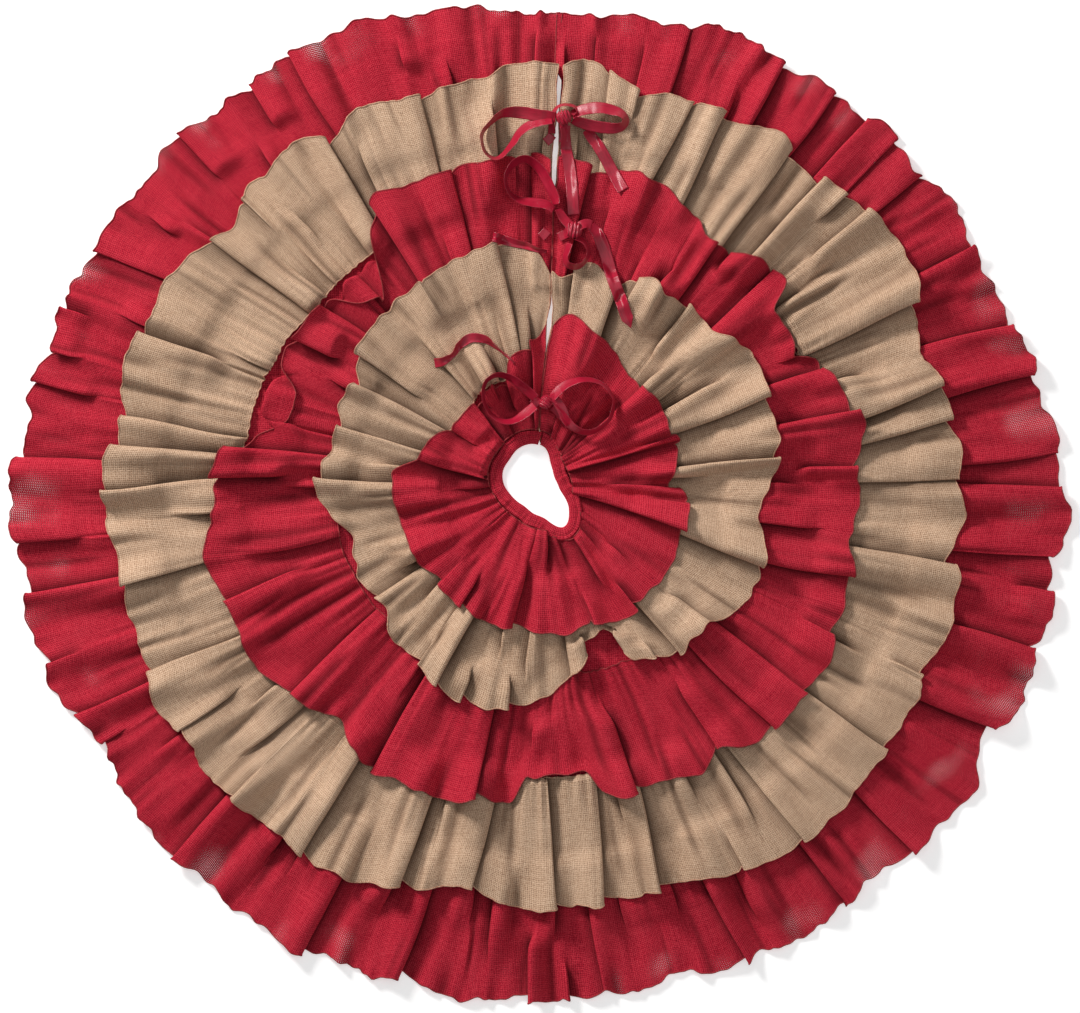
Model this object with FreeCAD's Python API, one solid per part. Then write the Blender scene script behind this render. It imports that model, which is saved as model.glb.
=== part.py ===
import FreeCAD, Part
import math
import os

V = FreeCAD.Vector

# ---------------------------------------------------------------------------
# Round ruffled tree skirt: a slit base disc, five gathered ruffle tiers, a
# bound trunk opening and three ribbon bows across the slit.
# Millimetres, +Z up, floor at z = 0, origin at the middle of the footprint.
# The skirt is cut into a fixed 240 degree part and two 60 degree flaps, one
# each side of the slit, that fold back for putting it round a trunk.
# ---------------------------------------------------------------------------

# ----- driving dimensions -----
NECK = (2.0, 25.0)             # centre of the trunk opening
SLIT_AZ = 87.0                 # direction of the slit from the neck centre
FLAP_SPAN = 60.0               # each flap's angle
SLIT_HALF = 6.0                # half width of the slit between the cloth ends
HINGE_HALF = 0.5               # half of the clearance at a flap's fold line
EDGING_W = 5.0                 # width of the serged edging on the base

BASE_T = 1.2                   # base cloth, two layers at the seams
BASE_C, BASE_R = (0.0, 8.0), 525.0

Z_LOW = 9.0                    # top of a gathered heading pressed by the next tier
Z_BODY = 20.0                  # top of a tier's puffed middle
Z_LAP = 9.5                    # underside of a hem lying over the next heading
Z_TOP = 24.0                   # top of that hem

# headings: the gathered edges sewn to the base
HEAD = {2: ((2.0, 25.0), 128.0), 3: ((2.0, 25.0), 232.0),
        4: ((2.0, 25.0), 332.0), 5: ((0.0, 10.0), 445.0)}
# hems: the free edges (the innermost one is a freehand outline, below)
HEM = {2: ((13.0, 33.0), 265.0), 3: ((0.0, 23.0), 366.0), 4: ((-5.0, 23.0), 489.0)}
RIM_A, RIM_B = 610.0, 570.0    # outermost hem, an oval

# innermost hem: distance from the neck centre every 20 degrees and at the slit
HEM1 = [(0, 151), (20, 166), (40, 161), (60, 171), (80, 196), (90, 176), (100, 150),
        (120, 121), (140, 114), (160, 131), (180, 166), (200, 161), (220, 160), (240, 166),
        (260, 168), (280, 174), (300, 181), (320, 176), (340, 176)]
# trunk opening, a soft D: distance from the neck centre
OPENING = [(0, 22), (22, 20), (45, 22), (65, 30), (82, 44), (95, 48), (115, 46), (140, 43),
           (165, 43), (190, 38), (215, 32), (240, 31), (260, 35), (280, 41), (297, 56),
           (309, 63), (322, 43), (340, 28)]
BIND_W = 14.0                  # binding width seen from above
BIND_T = 6.0                   # binding height
BIND_LAP = 4.0                 # how far the binding's under leg reaches

RIBBON_W = 14.5                # satin ribbon width
RIBBON_T = 1.2
Z_BOW = 24.4                   # ribbons lie just above the ruffles

os.makedirs("parts", exist_ok=True)


# ----- small geometry tools -----
def rad(a):
    return math.radians(a)


def circle(c, r):
    w = Part.Wire([Part.Circle(V(c[0], c[1], 0), V(0, 0, 1), r).toShape()])
    return Part.Face(w)


def oval(a, b):
    e = Part.Ellipse(V(0, 0, 0), a, b)
    return Part.Face(Part.Wire([e.toShape()]))


def closed_curve(pts):
    c = Part.BSplineCurve()
    c.interpolate(Points=[V(x, y, 0) for x, y in pts], PeriodicFlag=True)
    return Part.Face(Part.Wire([c.toShape()]))


def polar_points(table, grow=0.0):
    # a closed outline through the table, grown outwards along its normal
    n = len(table)
    p = [(NECK[0] + r * math.cos(rad(a)), NECK[1] + r * math.sin(rad(a))) for a, r in table]
    out = []
    for i in range(n):
        x0, y0 = p[i - 1]
        x1, y1 = p[(i + 1) % n]
        tx, ty = x1 - x0, y1 - y0
        m = math.hypot(tx, ty)
        out.append((p[i][0] + grow * ty / m, p[i][1] - grow * tx / m))
    return out


def outline(table, grow=0.0):
    return closed_curve(polar_points(table, grow))


def prism(face, z0, z1):
    f = face.copy()
    f.translate(V(0, 0, z0))
    return f.extrude(V(0, 0, z1 - z0))


def poly(pts):
    w = Part.makePolygon([V(x, y, 0) for x, y in pts] + [V(pts[0][0], pts[0][1], 0)])
    return Part.Face(w)


def wedge(a0, a1, in0, in1):
    # plan region between the rays at a0 and a1 (a0 < a1, under 180 degrees apart),
    # moved inwards from each ray by in0 and in1
    d0 = (math.cos(rad(a0)), math.sin(rad(a0)))
    d1 = (math.cos(rad(a1)), math.sin(rad(a1)))
    n0 = (-d0[1], d0[0])
    n1 = (d1[1], -d1[0])
    # apex: |n0 n1| p = offsets
    det = n0[0] * n1[1] - n0[1] * n1[0]
    ax = (in0 * n1[1] - in1 * n0[1]) / det
    ay = (n0[0] * in1 - n1[0] * in0) / det
    ax += NECK[0]
    ay += NECK[1]
    far = 1400.0
    mid = rad((a0 + a1) / 2.0)
    return poly([(ax, ay), (ax + far * d0[0], ay + far * d0[1]),
                 (ax + 2.5 * far * math.cos(mid), ay + 2.5 * far * math.sin(mid)),
                 (ax + far * d1[0], ay + far * d1[1])])


A_R0, A_L1 = SLIT_AZ - FLAP_SPAN, SLIT_AZ + FLAP_SPAN
RIGHT = prism(wedge(A_R0, SLIT_AZ, HINGE_HALF, SLIT_HALF), -5, 100)
LEFT = prism(wedge(SLIT_AZ, A_L1, SLIT_HALF, HINGE_HALF), -5, 100)
NOT_MAIN = prism(wedge(A_R0, A_L1, -HINGE_HALF, -HINGE_HALF), -5, 100)
RIGHT_B = prism(wedge(A_R0, SLIT_AZ, HINGE_HALF, SLIT_HALF + EDGING_W), -5, 100)
LEFT_B = prism(wedge(SLIT_AZ, A_L1, SLIT_HALF + EDGING_W, HINGE_HALF), -5, 100)


def tidy(s):
    s = s.removeSplitter()
    sol = s.Solids
    if len(sol) == 1:
        return sol[0]
    return Part.makeCompound(sol)


def save(name, shape):
    shape = tidy(shape)
    for s in shape.Solids:
        if not s.isValid():
            print("NOT VALID", name)
    if len(shape.Solids) == 0:
        print("EMPTY", name)
    shape.exportStep("parts/" + name + ".step")
    b = shape.BoundBox
    print("%-28s solids %2d vol %9.1f cm3  x %7.1f..%7.1f y %7.1f..%7.1f z %5.1f..%5.1f" % (
        name, len(shape.Solids), shape.Volume / 1000.0, b.XMin, b.XMax, b.YMin, b.YMax, b.ZMin, b.ZMax))


def three(name, full, left=LEFT, right=RIGHT):
    save(name + "_main", full.cut(NOT_MAIN))
    save(name + "_left_flap", full.common(left))
    save(name + "_right_flap", full.common(right))


# ----- base disc -----
bind_in = outline(OPENING)
bind_lap = outline(OPENING, BIND_LAP)
bind_out = outline(OPENING, BIND_W)
base = circle(BASE_C, BASE_R).cut(bind_lap)
three("base_cloth", prism(base, 0, BASE_T), LEFT_B, RIGHT_B)

# serged edging along both slit edges of the base
edge_r = prism(base, 0, BASE_T).common(RIGHT).cut(RIGHT_B)
edge_l = prism(base, 0, BASE_T).common(LEFT).cut(LEFT_B)
save("slit_edging_left", edge_l.common(prism(wedge(SLIT_AZ, SLIT_AZ + 40, 0, 0), -5, 100)))
save("slit_edging_right", edge_r.common(prism(wedge(SLIT_AZ - 40, SLIT_AZ, 0, 0), -5, 100)))

# ----- neck binding, wrapping the base's inner edge -----
binding = prism(bind_out.cut(bind_in), BASE_T, BIND_T).fuse(prism(bind_lap.cut(bind_in), 0, BASE_T))
three("neck_binding", binding)

# ----- ruffles -----
hem1 = outline(HEM1)
hem1g = outline(HEM1, 1.0)


def head_face(k, grow=0.0):
    c, r = HEAD[k]
    return circle(c, r + grow)


def hem_face(k, grow=0.0):
    if k == 1:
        return hem1g if grow else hem1
    c, r = HEM[k]
    return circle(c, r + grow)


# ruffle 1 starts at the binding
a1_in = outline(OPENING, BIND_W + 0.2)
a1_out = outline(OPENING, BIND_W + 10.0)
stop = head_face(2, -12.0)
r1 = prism(a1_out.cut(a1_in), BASE_T, Z_LOW)
r1 = r1.fuse(prism(stop.common(hem1).cut(a1_out), BASE_T, Z_BODY))
r1 = r1.fuse(prism(hem1.cut(stop), Z_LAP, Z_TOP))
three("ruffle_1", r1)

threads = [prism(outline(OPENING, BIND_W + 5.2).cut(outline(OPENING, BIND_W + 4.0)), Z_LOW, Z_LOW + 0.4)]
for k in (2, 3, 4):
    inner = head_face(k, -8.0)
    lap = hem_face(k - 1, 1.0)
    stop = head_face(k + 1, -12.0)
    rk = prism(lap.cut(inner), BASE_T, Z_LOW)
    rk = rk.fuse(prism(stop.cut(lap).cut(inner), BASE_T, Z_BODY))
    rk = rk.fuse(prism(hem_face(k).cut(stop), Z_LAP, Z_TOP))
    three("ruffle_%d" % k, rk)
    th = head_face(k, 7.2).cut(head_face(k, 6.0)).common(lap)
    threads.append(prism(th, Z_LOW, Z_LOW + 0.4))

# ruffle 5: its heading is on the base, its hem drops over the rim to the floor
inner = head_face(5, -8.0)
lap = hem_face(4, 1.0)
rim = circle(BASE_C, BASE_R + 0.4)
r5 = prism(lap.cut(inner), BASE_T, Z_LOW)
r5 = r5.fuse(prism(rim.cut(lap).cut(inner), BASE_T, Z_BODY))
r5 = r5.fuse(prism(oval(RIM_A, RIM_B).cut(rim), 0.0, Z_BODY))
three("ruffle_5", r5)
threads.append(prism(head_face(5, 7.2).cut(head_face(5, 6.0)).common(lap), Z_LOW, Z_LOW + 0.4))

# gathering threads, one ring per heading
ring = threads[0]
for t in threads[1:]:
    ring = Part.makeCompound(ring.Solids + t.Solids)


def cut_group(group, tool, keep):
    out = []
    for s in group.Solids:
        c = s.common(tool) if keep else s.cut(tool)
        out += c.Solids
    return Part.makeCompound(out)


save("gather_threads_main", cut_group(ring, NOT_MAIN, False))
save("gather_threads_left_flap", cut_group(ring, LEFT, True))
save("gather_threads_right_flap", cut_group(ring, RIGHT, True))


# ----- ribbon bows -----
def band(pts, z0, z1, thick=RIBBON_T):
    # a ribbon standing on edge along a smooth open path
    c = Part.BSplineCurve()
    c.interpolate([V(x, y, 0) for x, y in pts])
    n = 12 + 5 * len(pts)
    p = c.discretize(Number=n)
    lft, rgt = [], []
    for i in range(n):
        a = p[max(0, i - 1)]
        b = p[min(n - 1, i + 1)]
        t = b.sub(a)
        t.normalize()
        nrm = V(-t.y, t.x, 0)
        lft.append(p[i].add(V(nrm.x * thick / 2, nrm.y * thick / 2, 0)))
        rgt.append(p[i].sub(V(nrm.x * thick / 2, nrm.y * thick / 2, 0)))
    s1 = Part.BSplineCurve()
    s1.interpolate(lft)
    s2 = Part.BSplineCurve()
    s2.interpolate(rgt)
    e1, e2 = s1.toShape(), s2.toShape()
    w = Part.Wire(Part.sortEdges([e1, Part.makeLine(lft[-1], rgt[-1]), e2, Part.makeLine(rgt[0], lft[0])])[0])
    return prism(Part.Face(w), z0, z1)


def strip(pts, z0, width=RIBBON_W, thick=RIBBON_T):
    # a flat ribbon along a gently turning path, mitred at the turns
    n = len(pts)
    lft, rgt = [], []
    for i in range(n):
        a = pts[max(0, i - 1)]
        b = pts[min(n - 1, i + 1)]
        tx, ty = b[0] - a[0], b[1] - a[1]
        m = math.hypot(tx, ty)
        nx, ny = -ty / m, tx / m
        lft.append((pts[i][0] + nx * width / 2, pts[i][1] + ny * width / 2))
        rgt.append((pts[i][0] - nx * width / 2, pts[i][1] - ny * width / 2))
    return prism(poly(lft + rgt[::-1]), z0, z0 + thick)


def knot(c, sx, sy, z0, z1, turn=0.0):
    b = Part.makeBox(sx, sy, z1 - z0, V(-sx / 2, -sy / 2, 0))
    b = b.makeFillet(3.0, b.Edges)
    b.rotate(V(0, 0, 0), V(0, 0, 1), turn)
    b.translate(V(c[0], c[1], z0))
    return b


# outer bow, tied over ruffle 4
BOW1 = (31.0, 443.0)
save("bow_outer_knot", knot(BOW1, 15, 14, Z_BOW, 45.0, 8))
save("bow_outer_left_loop", band([(19.5, 446.0), (0.0, 449.5), (-30.0, 450.5), (-46.5, 437.5), (-63.0, 420.5),
                                  (-49.0, 397.5), (-34.0, 402.5), (-16.0, 432.0), (4.0, 439.0), (19.5, 442.0)], Z_BOW, Z_BOW + RIBBON_W))
save("bow_outer_right_loop", band([(41.5, 446.5), (56.0, 455.5), (80.0, 452.5), (103.0, 443.0),
                                   (101.0, 430.0), (74.0, 434.0), (52.0, 438.0), (41.5, 441.0)], Z_BOW, Z_BOW + RIBBON_W))
save("bow_outer_tail_a", strip([(34.0, 430.0), (38.0, 400.0), (41.0, 370.0), (42.5, 330.0)], Z_BOW))
save("bow_outer_tail_b", strip([(60.0, 425.0), (76.0, 404.0), (91.0, 377.0), (104.0, 352.0)], Z_BOW))

# middle bow, tied over ruffle 3
BOW2 = (42.5, 315.0)
save("bow_middle_knot", knot(BOW2, 18, 15, Z_BOW, 42.0, -10))
save("bow_middle_left_loop", band([(22.5, 346.0), (16.0, 368.0), (6.0, 389.0), (-14.0, 397.0), (-31.0, 388.0),
                                   (-36.5, 371.0), (-28.0, 352.0), (-8.0, 346.5), (8.0, 347.5), (19.5, 341.0)], Z_BOW, Z_BOW + RIBBON_W))
save("bow_middle_right_loop", band([(47.0, 304.5), (59.0, 302.0), (63.5, 288.0), (55.0, 276.0),
                                    (41.0, 275.0), (36.0, 286.0), (40.0, 304.5)], Z_BOW, Z_BOW + RIBBON_W))
save("bow_middle_left_tail", strip([(11.0, 291.0), (-16.0, 299.0), (-50.0, 307.0)], Z_BOW, 6.0, 2.4))
save("bow_middle_right_tail", strip([(66.0, 312.0), (76.0, 290.0), (88.0, 255.0), (108.5, 203.0)], Z_BOW))

# neck bow, tied over ruffle 1
BOW3 = (10.5, 118.0)
save("bow_neck_knot", knot(BOW3, 14, 14, Z_BOW, 42.0, 10))
save("bow_neck_left_loop", band([(-2.0, 122.0), (-18.0, 137.0), (-42.0, 148.0), (-61.0, 136.0), (-58.0, 112.0),
                                 (-34.0, 96.0), (-12.0, 106.0), (-2.0, 117.0)], Z_BOW, Z_BOW + RIBBON_W))
save("bow_neck_right_loop", band([(19.5, 122.0), (34.0, 140.0), (62.0, 142.0), (87.0, 124.0), (84.0, 98.0),
                                  (60.0, 84.0), (36.0, 92.0), (19.5, 114.0)], Z_BOW, Z_BOW + RIBBON_W))
save("bow_neck_left_tail", strip([(-26.0, 163.0), (-40.0, 176.0), (-58.0, 190.0), (-78.0, 191.0), (-93.0, 176.0), (-116.0, 163.0)],
                                 Z_BOW, 9.0, 1.6))


# ribbon ends sewn down at the slit, under the bows
def anchor(side, y):
    d = (math.cos(rad(SLIT_AZ)), math.sin(rad(SLIT_AZ)))
    n = (d[1], -d[0])                      # towards the right of the slit
    s = y - NECK[1]
    cx, cy = NECK[0] + d[0] * s, NECK[1] + d[1] * s
    a, b = side * (SLIT_HALF + 1.0), side * (SLIT_HALF + 12.0)
    h = RIBBON_W / 2
    pts = [(cx + n[0] * a - d[0] * h, cy + n[1] * a - d[1] * h), (cx + n[0] * b - d[0] * h, cy + n[1] * b - d[1] * h),
           (cx + n[0] * b + d[0] * h, cy + n[1] * b + d[1] * h), (cx + n[0] * a + d[0] * h, cy + n[1] * a + d[1] * h)]
    return prism(poly(pts), Z_BODY, Z_TOP)


ANCHOR_Y = (420.0, 311.0, 118.0)
save("ribbon_anchors_left", Part.makeCompound([anchor(-1, y) for y in ANCHOR_Y]))
save("ribbon_anchors_right", Part.makeCompound([anchor(1, y) for y in ANCHOR_Y]))
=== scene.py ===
import bpy
import math
import numpy as np
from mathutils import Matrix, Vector


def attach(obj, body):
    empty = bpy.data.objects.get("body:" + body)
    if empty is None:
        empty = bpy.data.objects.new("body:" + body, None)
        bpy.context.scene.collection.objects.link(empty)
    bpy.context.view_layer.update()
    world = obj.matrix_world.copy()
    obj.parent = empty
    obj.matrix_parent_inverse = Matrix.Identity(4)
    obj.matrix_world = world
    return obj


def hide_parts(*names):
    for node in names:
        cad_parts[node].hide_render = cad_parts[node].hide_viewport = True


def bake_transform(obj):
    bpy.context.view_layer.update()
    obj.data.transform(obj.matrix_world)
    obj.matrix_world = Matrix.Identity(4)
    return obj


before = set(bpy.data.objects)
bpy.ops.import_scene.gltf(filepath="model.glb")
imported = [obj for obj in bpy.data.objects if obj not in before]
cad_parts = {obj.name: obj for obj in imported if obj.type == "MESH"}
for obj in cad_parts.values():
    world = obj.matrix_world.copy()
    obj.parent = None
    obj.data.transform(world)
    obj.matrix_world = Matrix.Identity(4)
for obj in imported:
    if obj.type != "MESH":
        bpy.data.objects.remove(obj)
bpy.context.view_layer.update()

MM = 0.001
CX, CY = 2.0, 25.0            # centre of the trunk opening, mm
SLIT = 87.0                   # azimuth of the slit
rng = np.random.default_rng(4242)

# ---------------------------------------------------------------------------
# camera, light and floor
# ---------------------------------------------------------------------------
scn = bpy.context.scene
cam_d = bpy.data.cameras.new("camera")
cam = bpy.data.objects.new("camera", cam_d)
scn.collection.objects.link(cam)
cam_d.lens = 180.0
cam_d.sensor_width = 36.0
FRAME_W = 1.2395
cam.location = (0.0040, -0.0017, FRAME_W * 180.0 / 36.0 + 0.012)
cam.rotation_euler = (0, 0, 0)
cam_d.clip_end = 50
scn.camera = cam


def area_light(name, loc, aim, size, power, colour=(1, 1, 1)):
    d = bpy.data.lights.new(name, "AREA")
    d.shape = "RECTANGLE"
    d.size, d.size_y = size
    d.energy = power
    d.color = colour
    o = bpy.data.objects.new(name, d)
    scn.collection.objects.link(o)
    o.location = loc
    o.rotation_euler = (Vector(aim) - Vector(loc)).to_track_quat("-Z", "Y").to_euler()
    return o


area_light("key", (-2.3, 2.6, 1.75), (0, 0, 0), (0.9, 0.9), 172, (1.0, 0.985, 0.965))
area_light("fill", (2.2, -1.2, 2.4), (0, 0, 0), (2.5, 2.5), 9, (0.96, 0.98, 1.0))
area_light("top", (0.2, 0.2, 3.2), (0, 0, 0), (3.0, 3.0), 20)
world = bpy.data.worlds.new("studio")
scn.world = world
world.use_nodes = True
world.node_tree.nodes["Background"].inputs[0].default_value = (1, 1, 1, 1)
world.node_tree.nodes["Background"].inputs[1].default_value = 0.22


# ---------------------------------------------------------------------------
# materials
# ---------------------------------------------------------------------------
def new_mat(name):
    m = bpy.data.materials.new(name)
    m.use_nodes = True
    nt = m.node_tree
    for n in list(nt.nodes):
        nt.nodes.remove(n)
    out = nt.nodes.new("ShaderNodeOutputMaterial")
    bs = nt.nodes.new("ShaderNodeBsdfPrincipled")
    nt.links.new(bs.outputs[0], out.inputs[0])
    return m, nt, bs


class Net:
    """short hands for a node tree"""

    def __init__(self, nt):
        self.nt = nt

    def math(self, op, a, b=None, c=None, clamp=False):
        n = self.nt.nodes.new("ShaderNodeMath")
        n.operation = op
        n.use_clamp = clamp
        for i, v in enumerate((a, b, c)):
            if v is None:
                continue
            if isinstance(v, (int, float)):
                n.inputs[i].default_value = v
            else:
                self.nt.links.new(v, n.inputs[i])
        return n.outputs[0]

    def noise(self, vec, scale, detail=3.0, rough=0.55):
        n = self.nt.nodes.new("ShaderNodeTexNoise")
        n.inputs["Scale"].default_value = scale
        n.inputs["Detail"].default_value = detail
        n.inputs["Roughness"].default_value = rough
        if vec is not None:
            self.nt.links.new(vec, n.inputs["Vector"])
        return n.outputs["Fac"]

    def combine(self, x, y, z=0.0):
        n = self.nt.nodes.new("ShaderNodeCombineXYZ")
        for i, v in enumerate((x, y, z)):
            if isinstance(v, (int, float)):
                n.inputs[i].default_value = v
            else:
                self.nt.links.new(v, n.inputs[i])
        return n.outputs[0]

    def ramp(self, fac, stops):
        n = self.nt.nodes.new("ShaderNodeValToRGB")
        e = n.color_ramp.elements
        while len(e) < len(stops):
            e.new(0.5)
        for el, (p, c) in zip(e, stops):
            el.position = p
            el.color = (c[0], c[1], c[2], 1)
        self.nt.links.new(fac, n.inputs[0])
        return n.outputs[0]

    def mixcol(self, fac, a, b, mode="MIX"):
        n = self.nt.nodes.new("ShaderNodeMix")
        n.data_type = "RGBA"
        n.blend_type = mode
        for sock, v in ((n.inputs[0], fac), (n.inputs[6], a), (n.inputs[7], b)):
            if isinstance(v, (int, float)):
                sock.default_value = v
            elif isinstance(v, tuple):
                sock.default_value = (v[0], v[1], v[2], 1)
            else:
                self.nt.links.new(v, sock)
        return n.outputs[2]


def burlap(name, dark, mid, light, pitch=0.00215, sheer=False, sheen=0.25):
    """plain-woven burlap: uneven warp and weft yarns, slubs, dark pinholes"""
    m, nt, bs = new_mat(name)
    g = Net(nt)
    uv = nt.nodes.new("ShaderNodeUVMap")
    uv.uv_map = "cloth"
    sep = nt.nodes.new("ShaderNodeSeparateXYZ")
    nt.links.new(uv.outputs[0], sep.inputs[0])
    U, Vv = sep.outputs[0], sep.outputs[1]
    # yarns wander a little
    wob = g.noise(uv.outputs[0], 55.0, 2.0)
    wob2 = g.noise(g.combine(Vv, U), 48.0, 2.0)
    Uw = g.math("ADD", U, g.math("MULTIPLY", g.math("SUBTRACT", wob, 0.5), 0.0016))
    Vw = g.math("ADD", Vv, g.math("MULTIPLY", g.math("SUBTRACT", wob2, 0.5), 0.0016))
    su = g.math("SINE", g.math("MULTIPLY", Uw, math.pi / pitch))
    sv = g.math("SINE", g.math("MULTIPLY", Vw, math.pi / pitch))
    au = g.math("ABSOLUTE", su)      # 0 between warp yarns, 1 on a yarn
    av = g.math("ABSOLUTE", sv)
    over = g.math("MULTIPLY_ADD", g.math("MULTIPLY", su, sv), 0.5, 0.5)   # which yarn is on top
    warp = g.math("MULTIPLY", au, over)
    weft = g.math("MULTIPLY", av, g.math("SUBTRACT", 1.0, over))
    height = g.math("ADD", g.math("MULTIPLY", g.math("ADD", warp, weft), 0.75), g.math("MULTIPLY", g.math("MAXIMUM", au, av), 0.35))
    # yarn by yarn colour: long thin noise along each yarn
    n_warp = g.noise(g.combine(g.math("MULTIPLY", Uw, 1.0 / pitch), g.math("MULTIPLY", Vw, 22.0)), 1.0, 2.0)
    n_weft = g.noise(g.combine(g.math("MULTIPLY", Uw, 22.0), g.math("MULTIPLY", Vw, 1.0 / pitch), 7.0), 1.0, 2.0)
    yarn = g.math("ADD", g.math("MULTIPLY", n_warp, 0.5), g.math("MULTIPLY", n_weft, 0.5))
    coord = nt.nodes.new("ShaderNodeTexCoord")
    big = g.noise(coord.outputs["Object"], 9.0, 3.0)
    fine = g.noise(coord.outputs["Object"], 900.0, 1.0)
    # colour: yarn-by-yarn noise, broad and fine mottling, and painted shade from the weave height: darker where a yarn
    # dips under its crossing and in the gaps between yarns
    tone = g.math("ADD", g.math("MULTIPLY", g.math("SUBTRACT", yarn, 0.5), 0.95),
                  g.math("ADD", g.math("MULTIPLY", g.math("SUBTRACT", height, 0.62), 0.85),
                         g.math("ADD", g.math("MULTIPLY", g.math("SUBTRACT", big, 0.5), 0.35),
                                g.math("MULTIPLY", g.math("SUBTRACT", fine, 0.5), 1.5))))
    tone = g.math("ADD", tone, 0.5, clamp=True)
    col = g.ramp(tone, [(0.0, dark), (0.48, mid), (1.0, light)])
    # painted shade: a per-vertex attribute mixes the colour towards a near-black copy of the dark yarn colour in fold
    # crevices, soft creases and pucker valleys
    sh = nt.nodes.new("ShaderNodeAttribute")
    sh.attribute_name = "painted_shade"
    col = g.mixcol(g.math("MULTIPLY", sh.outputs["Fac"], 1.0, clamp=True), col, (dark[0] * 0.42, dark[1] * 0.34, dark[2] * 0.30))
    nt.links.new(col, bs.inputs["Base Color"])
    bs.inputs["Roughness"].default_value = 0.92
    bs.inputs["Specular IOR Level"].default_value = 0.18
    bs.inputs["Sheen Weight"].default_value = sheen
    bs.inputs["Sheen Roughness"].default_value = 0.6
    bs.inputs["Sheen Tint"].default_value = (light[0], light[1], light[2], 1)
    bump = nt.nodes.new("ShaderNodeBump")
    bump.inputs["Strength"].default_value = 0.55
    bump.inputs["Distance"].default_value = 0.0007
    nt.links.new(g.math("ADD", height, g.math("MULTIPLY", yarn, 0.7)), bump.inputs["Height"])
    nt.links.new(bump.outputs[0], bs.inputs["Normal"])
    if sheer:
        at = nt.nodes.new("ShaderNodeAttribute")
        at.attribute_name = "sheer"
        # holes between the yarns open where the cloth is a single layer
        gap = g.math("MAXIMUM", au, av)
        patch = g.noise(coord.outputs["Object"], 16.0, 1.0)
        openness = g.math("MULTIPLY", at.outputs["Fac"], g.math("MULTIPLY_ADD", patch, 3.2, -1.42, clamp=True))
        edge = g.math("MULTIPLY", openness, 0.50)
        hole = g.math("MULTIPLY", g.math("SUBTRACT", edge, g.math("MULTIPLY", gap, gap)), 6.0, clamp=True)
        nt.links.new(g.math("SUBTRACT", 1.0, g.math("MULTIPLY", hole, 0.95)), bs.inputs["Alpha"])
    return m


RED_D, RED_M, RED_L = (0.140, 0.0010, 0.009), (0.400, 0.0060, 0.0235), (0.600, 0.040, 0.064)
TAN_D, TAN_M, TAN_L = (0.175, 0.100, 0.060), (0.450, 0.280, 0.178), (0.690, 0.490, 0.345)
mat_red = burlap("red_burlap", RED_D, RED_M, RED_L)
mat_red_sheer = burlap("red_burlap_sheer", RED_D, RED_M, RED_L, sheer=True)
mat_tan = burlap("natural_burlap", TAN_D, TAN_M, TAN_L, sheen=0.15)


def thread_mat(name, a, b):
    m, nt, bs = new_mat(name)
    g = Net(nt)
    coord = nt.nodes.new("ShaderNodeTexCoord")
    n1 = g.noise(coord.outputs["Object"], 420.0, 2.0)
    nt.links.new(g.ramp(n1, [(0.3, a), (0.7, b)]), bs.inputs["Base Color"])
    bs.inputs["Roughness"].default_value = 0.7
    bump = nt.nodes.new("ShaderNodeBump")
    bump.inputs["Strength"].default_value = 0.8
    bump.inputs["Distance"].default_value = 0.0006
    nt.links.new(g.noise(coord.outputs["Object"], 1100.0, 1.0), bump.inputs["Height"])
    nt.links.new(bump.outputs[0], bs.inputs["Normal"])
    return m


mat_thread_red = thread_mat("red_thread", (0.20, 0.006, 0.012), (0.42, 0.03, 0.035))
mat_thread_pink = thread_mat("serging_on_natural", (0.42, 0.16, 0.10), (0.60, 0.40, 0.26))
mat_thread_orange = thread_mat("slit_serging", (0.36, 0.05, 0.025), (0.62, 0.26, 0.13))
mat_thread_tan = thread_mat("natural_thread", (0.16, 0.085, 0.045), (0.34, 0.22, 0.13))


def satin():
    m, nt, bs = new_mat("red_satin")
    g = Net(nt)
    uv = nt.nodes.new("ShaderNodeUVMap")
    uv.uv_map = "cloth"
    sep = nt.nodes.new("ShaderNodeSeparateXYZ")
    nt.links.new(uv.outputs[0], sep.inputs[0])
    U, Vv = sep.outputs[0], sep.outputs[1]
    # fine ribs across the ribbon and a woven selvedge along each side
    ribs = g.math("SINE", g.math("MULTIPLY", U, 2 * math.pi / 0.0007))
    streak = g.noise(g.combine(g.math("MULTIPLY", U, 60.0), g.math("MULTIPLY", Vv, 900.0)), 1.0, 2.0)
    edge = g.math("GREATER_THAN", g.math("ABSOLUTE", g.math("SUBTRACT", Vv, 0.0073)), 0.0064)
    tone = g.math("ADD", g.math("MULTIPLY", streak, 0.8), 0.1, clamp=True)
    col = g.ramp(tone, [(0.15, (0.22, 0.002, 0.014)), (0.5, (0.38, 0.005, 0.028)), (0.9, (0.52, 0.018, 0.055))])
    col = g.mixcol(g.math("MULTIPLY", edge, 0.35), col, (0.30, 0.006, 0.02))
    nt.links.new(col, bs.inputs["Base Color"])
    bs.inputs["Roughness"].default_value = 0.33
    bs.inputs["Specular IOR Level"].default_value = 0.55
    bs.inputs["Sheen Weight"].default_value = 0.12
    bs.inputs["Sheen Roughness"].default_value = 0.35
    bs.inputs["Sheen Tint"].default_value = (1.0, 0.45, 0.5, 1)
    bump = nt.nodes.new("ShaderNodeBump")
    bump.inputs["Strength"].default_value = 0.25
    bump.inputs["Distance"].default_value = 0.0003
    nt.links.new(g.math("ADD", g.math("MULTIPLY", ribs, 0.5), g.math("MULTIPLY", edge, 1.5)), bump.inputs["Height"])
    nt.links.new(bump.outputs[0], bs.inputs["Normal"])
    return m


mat_satin = satin()

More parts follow.
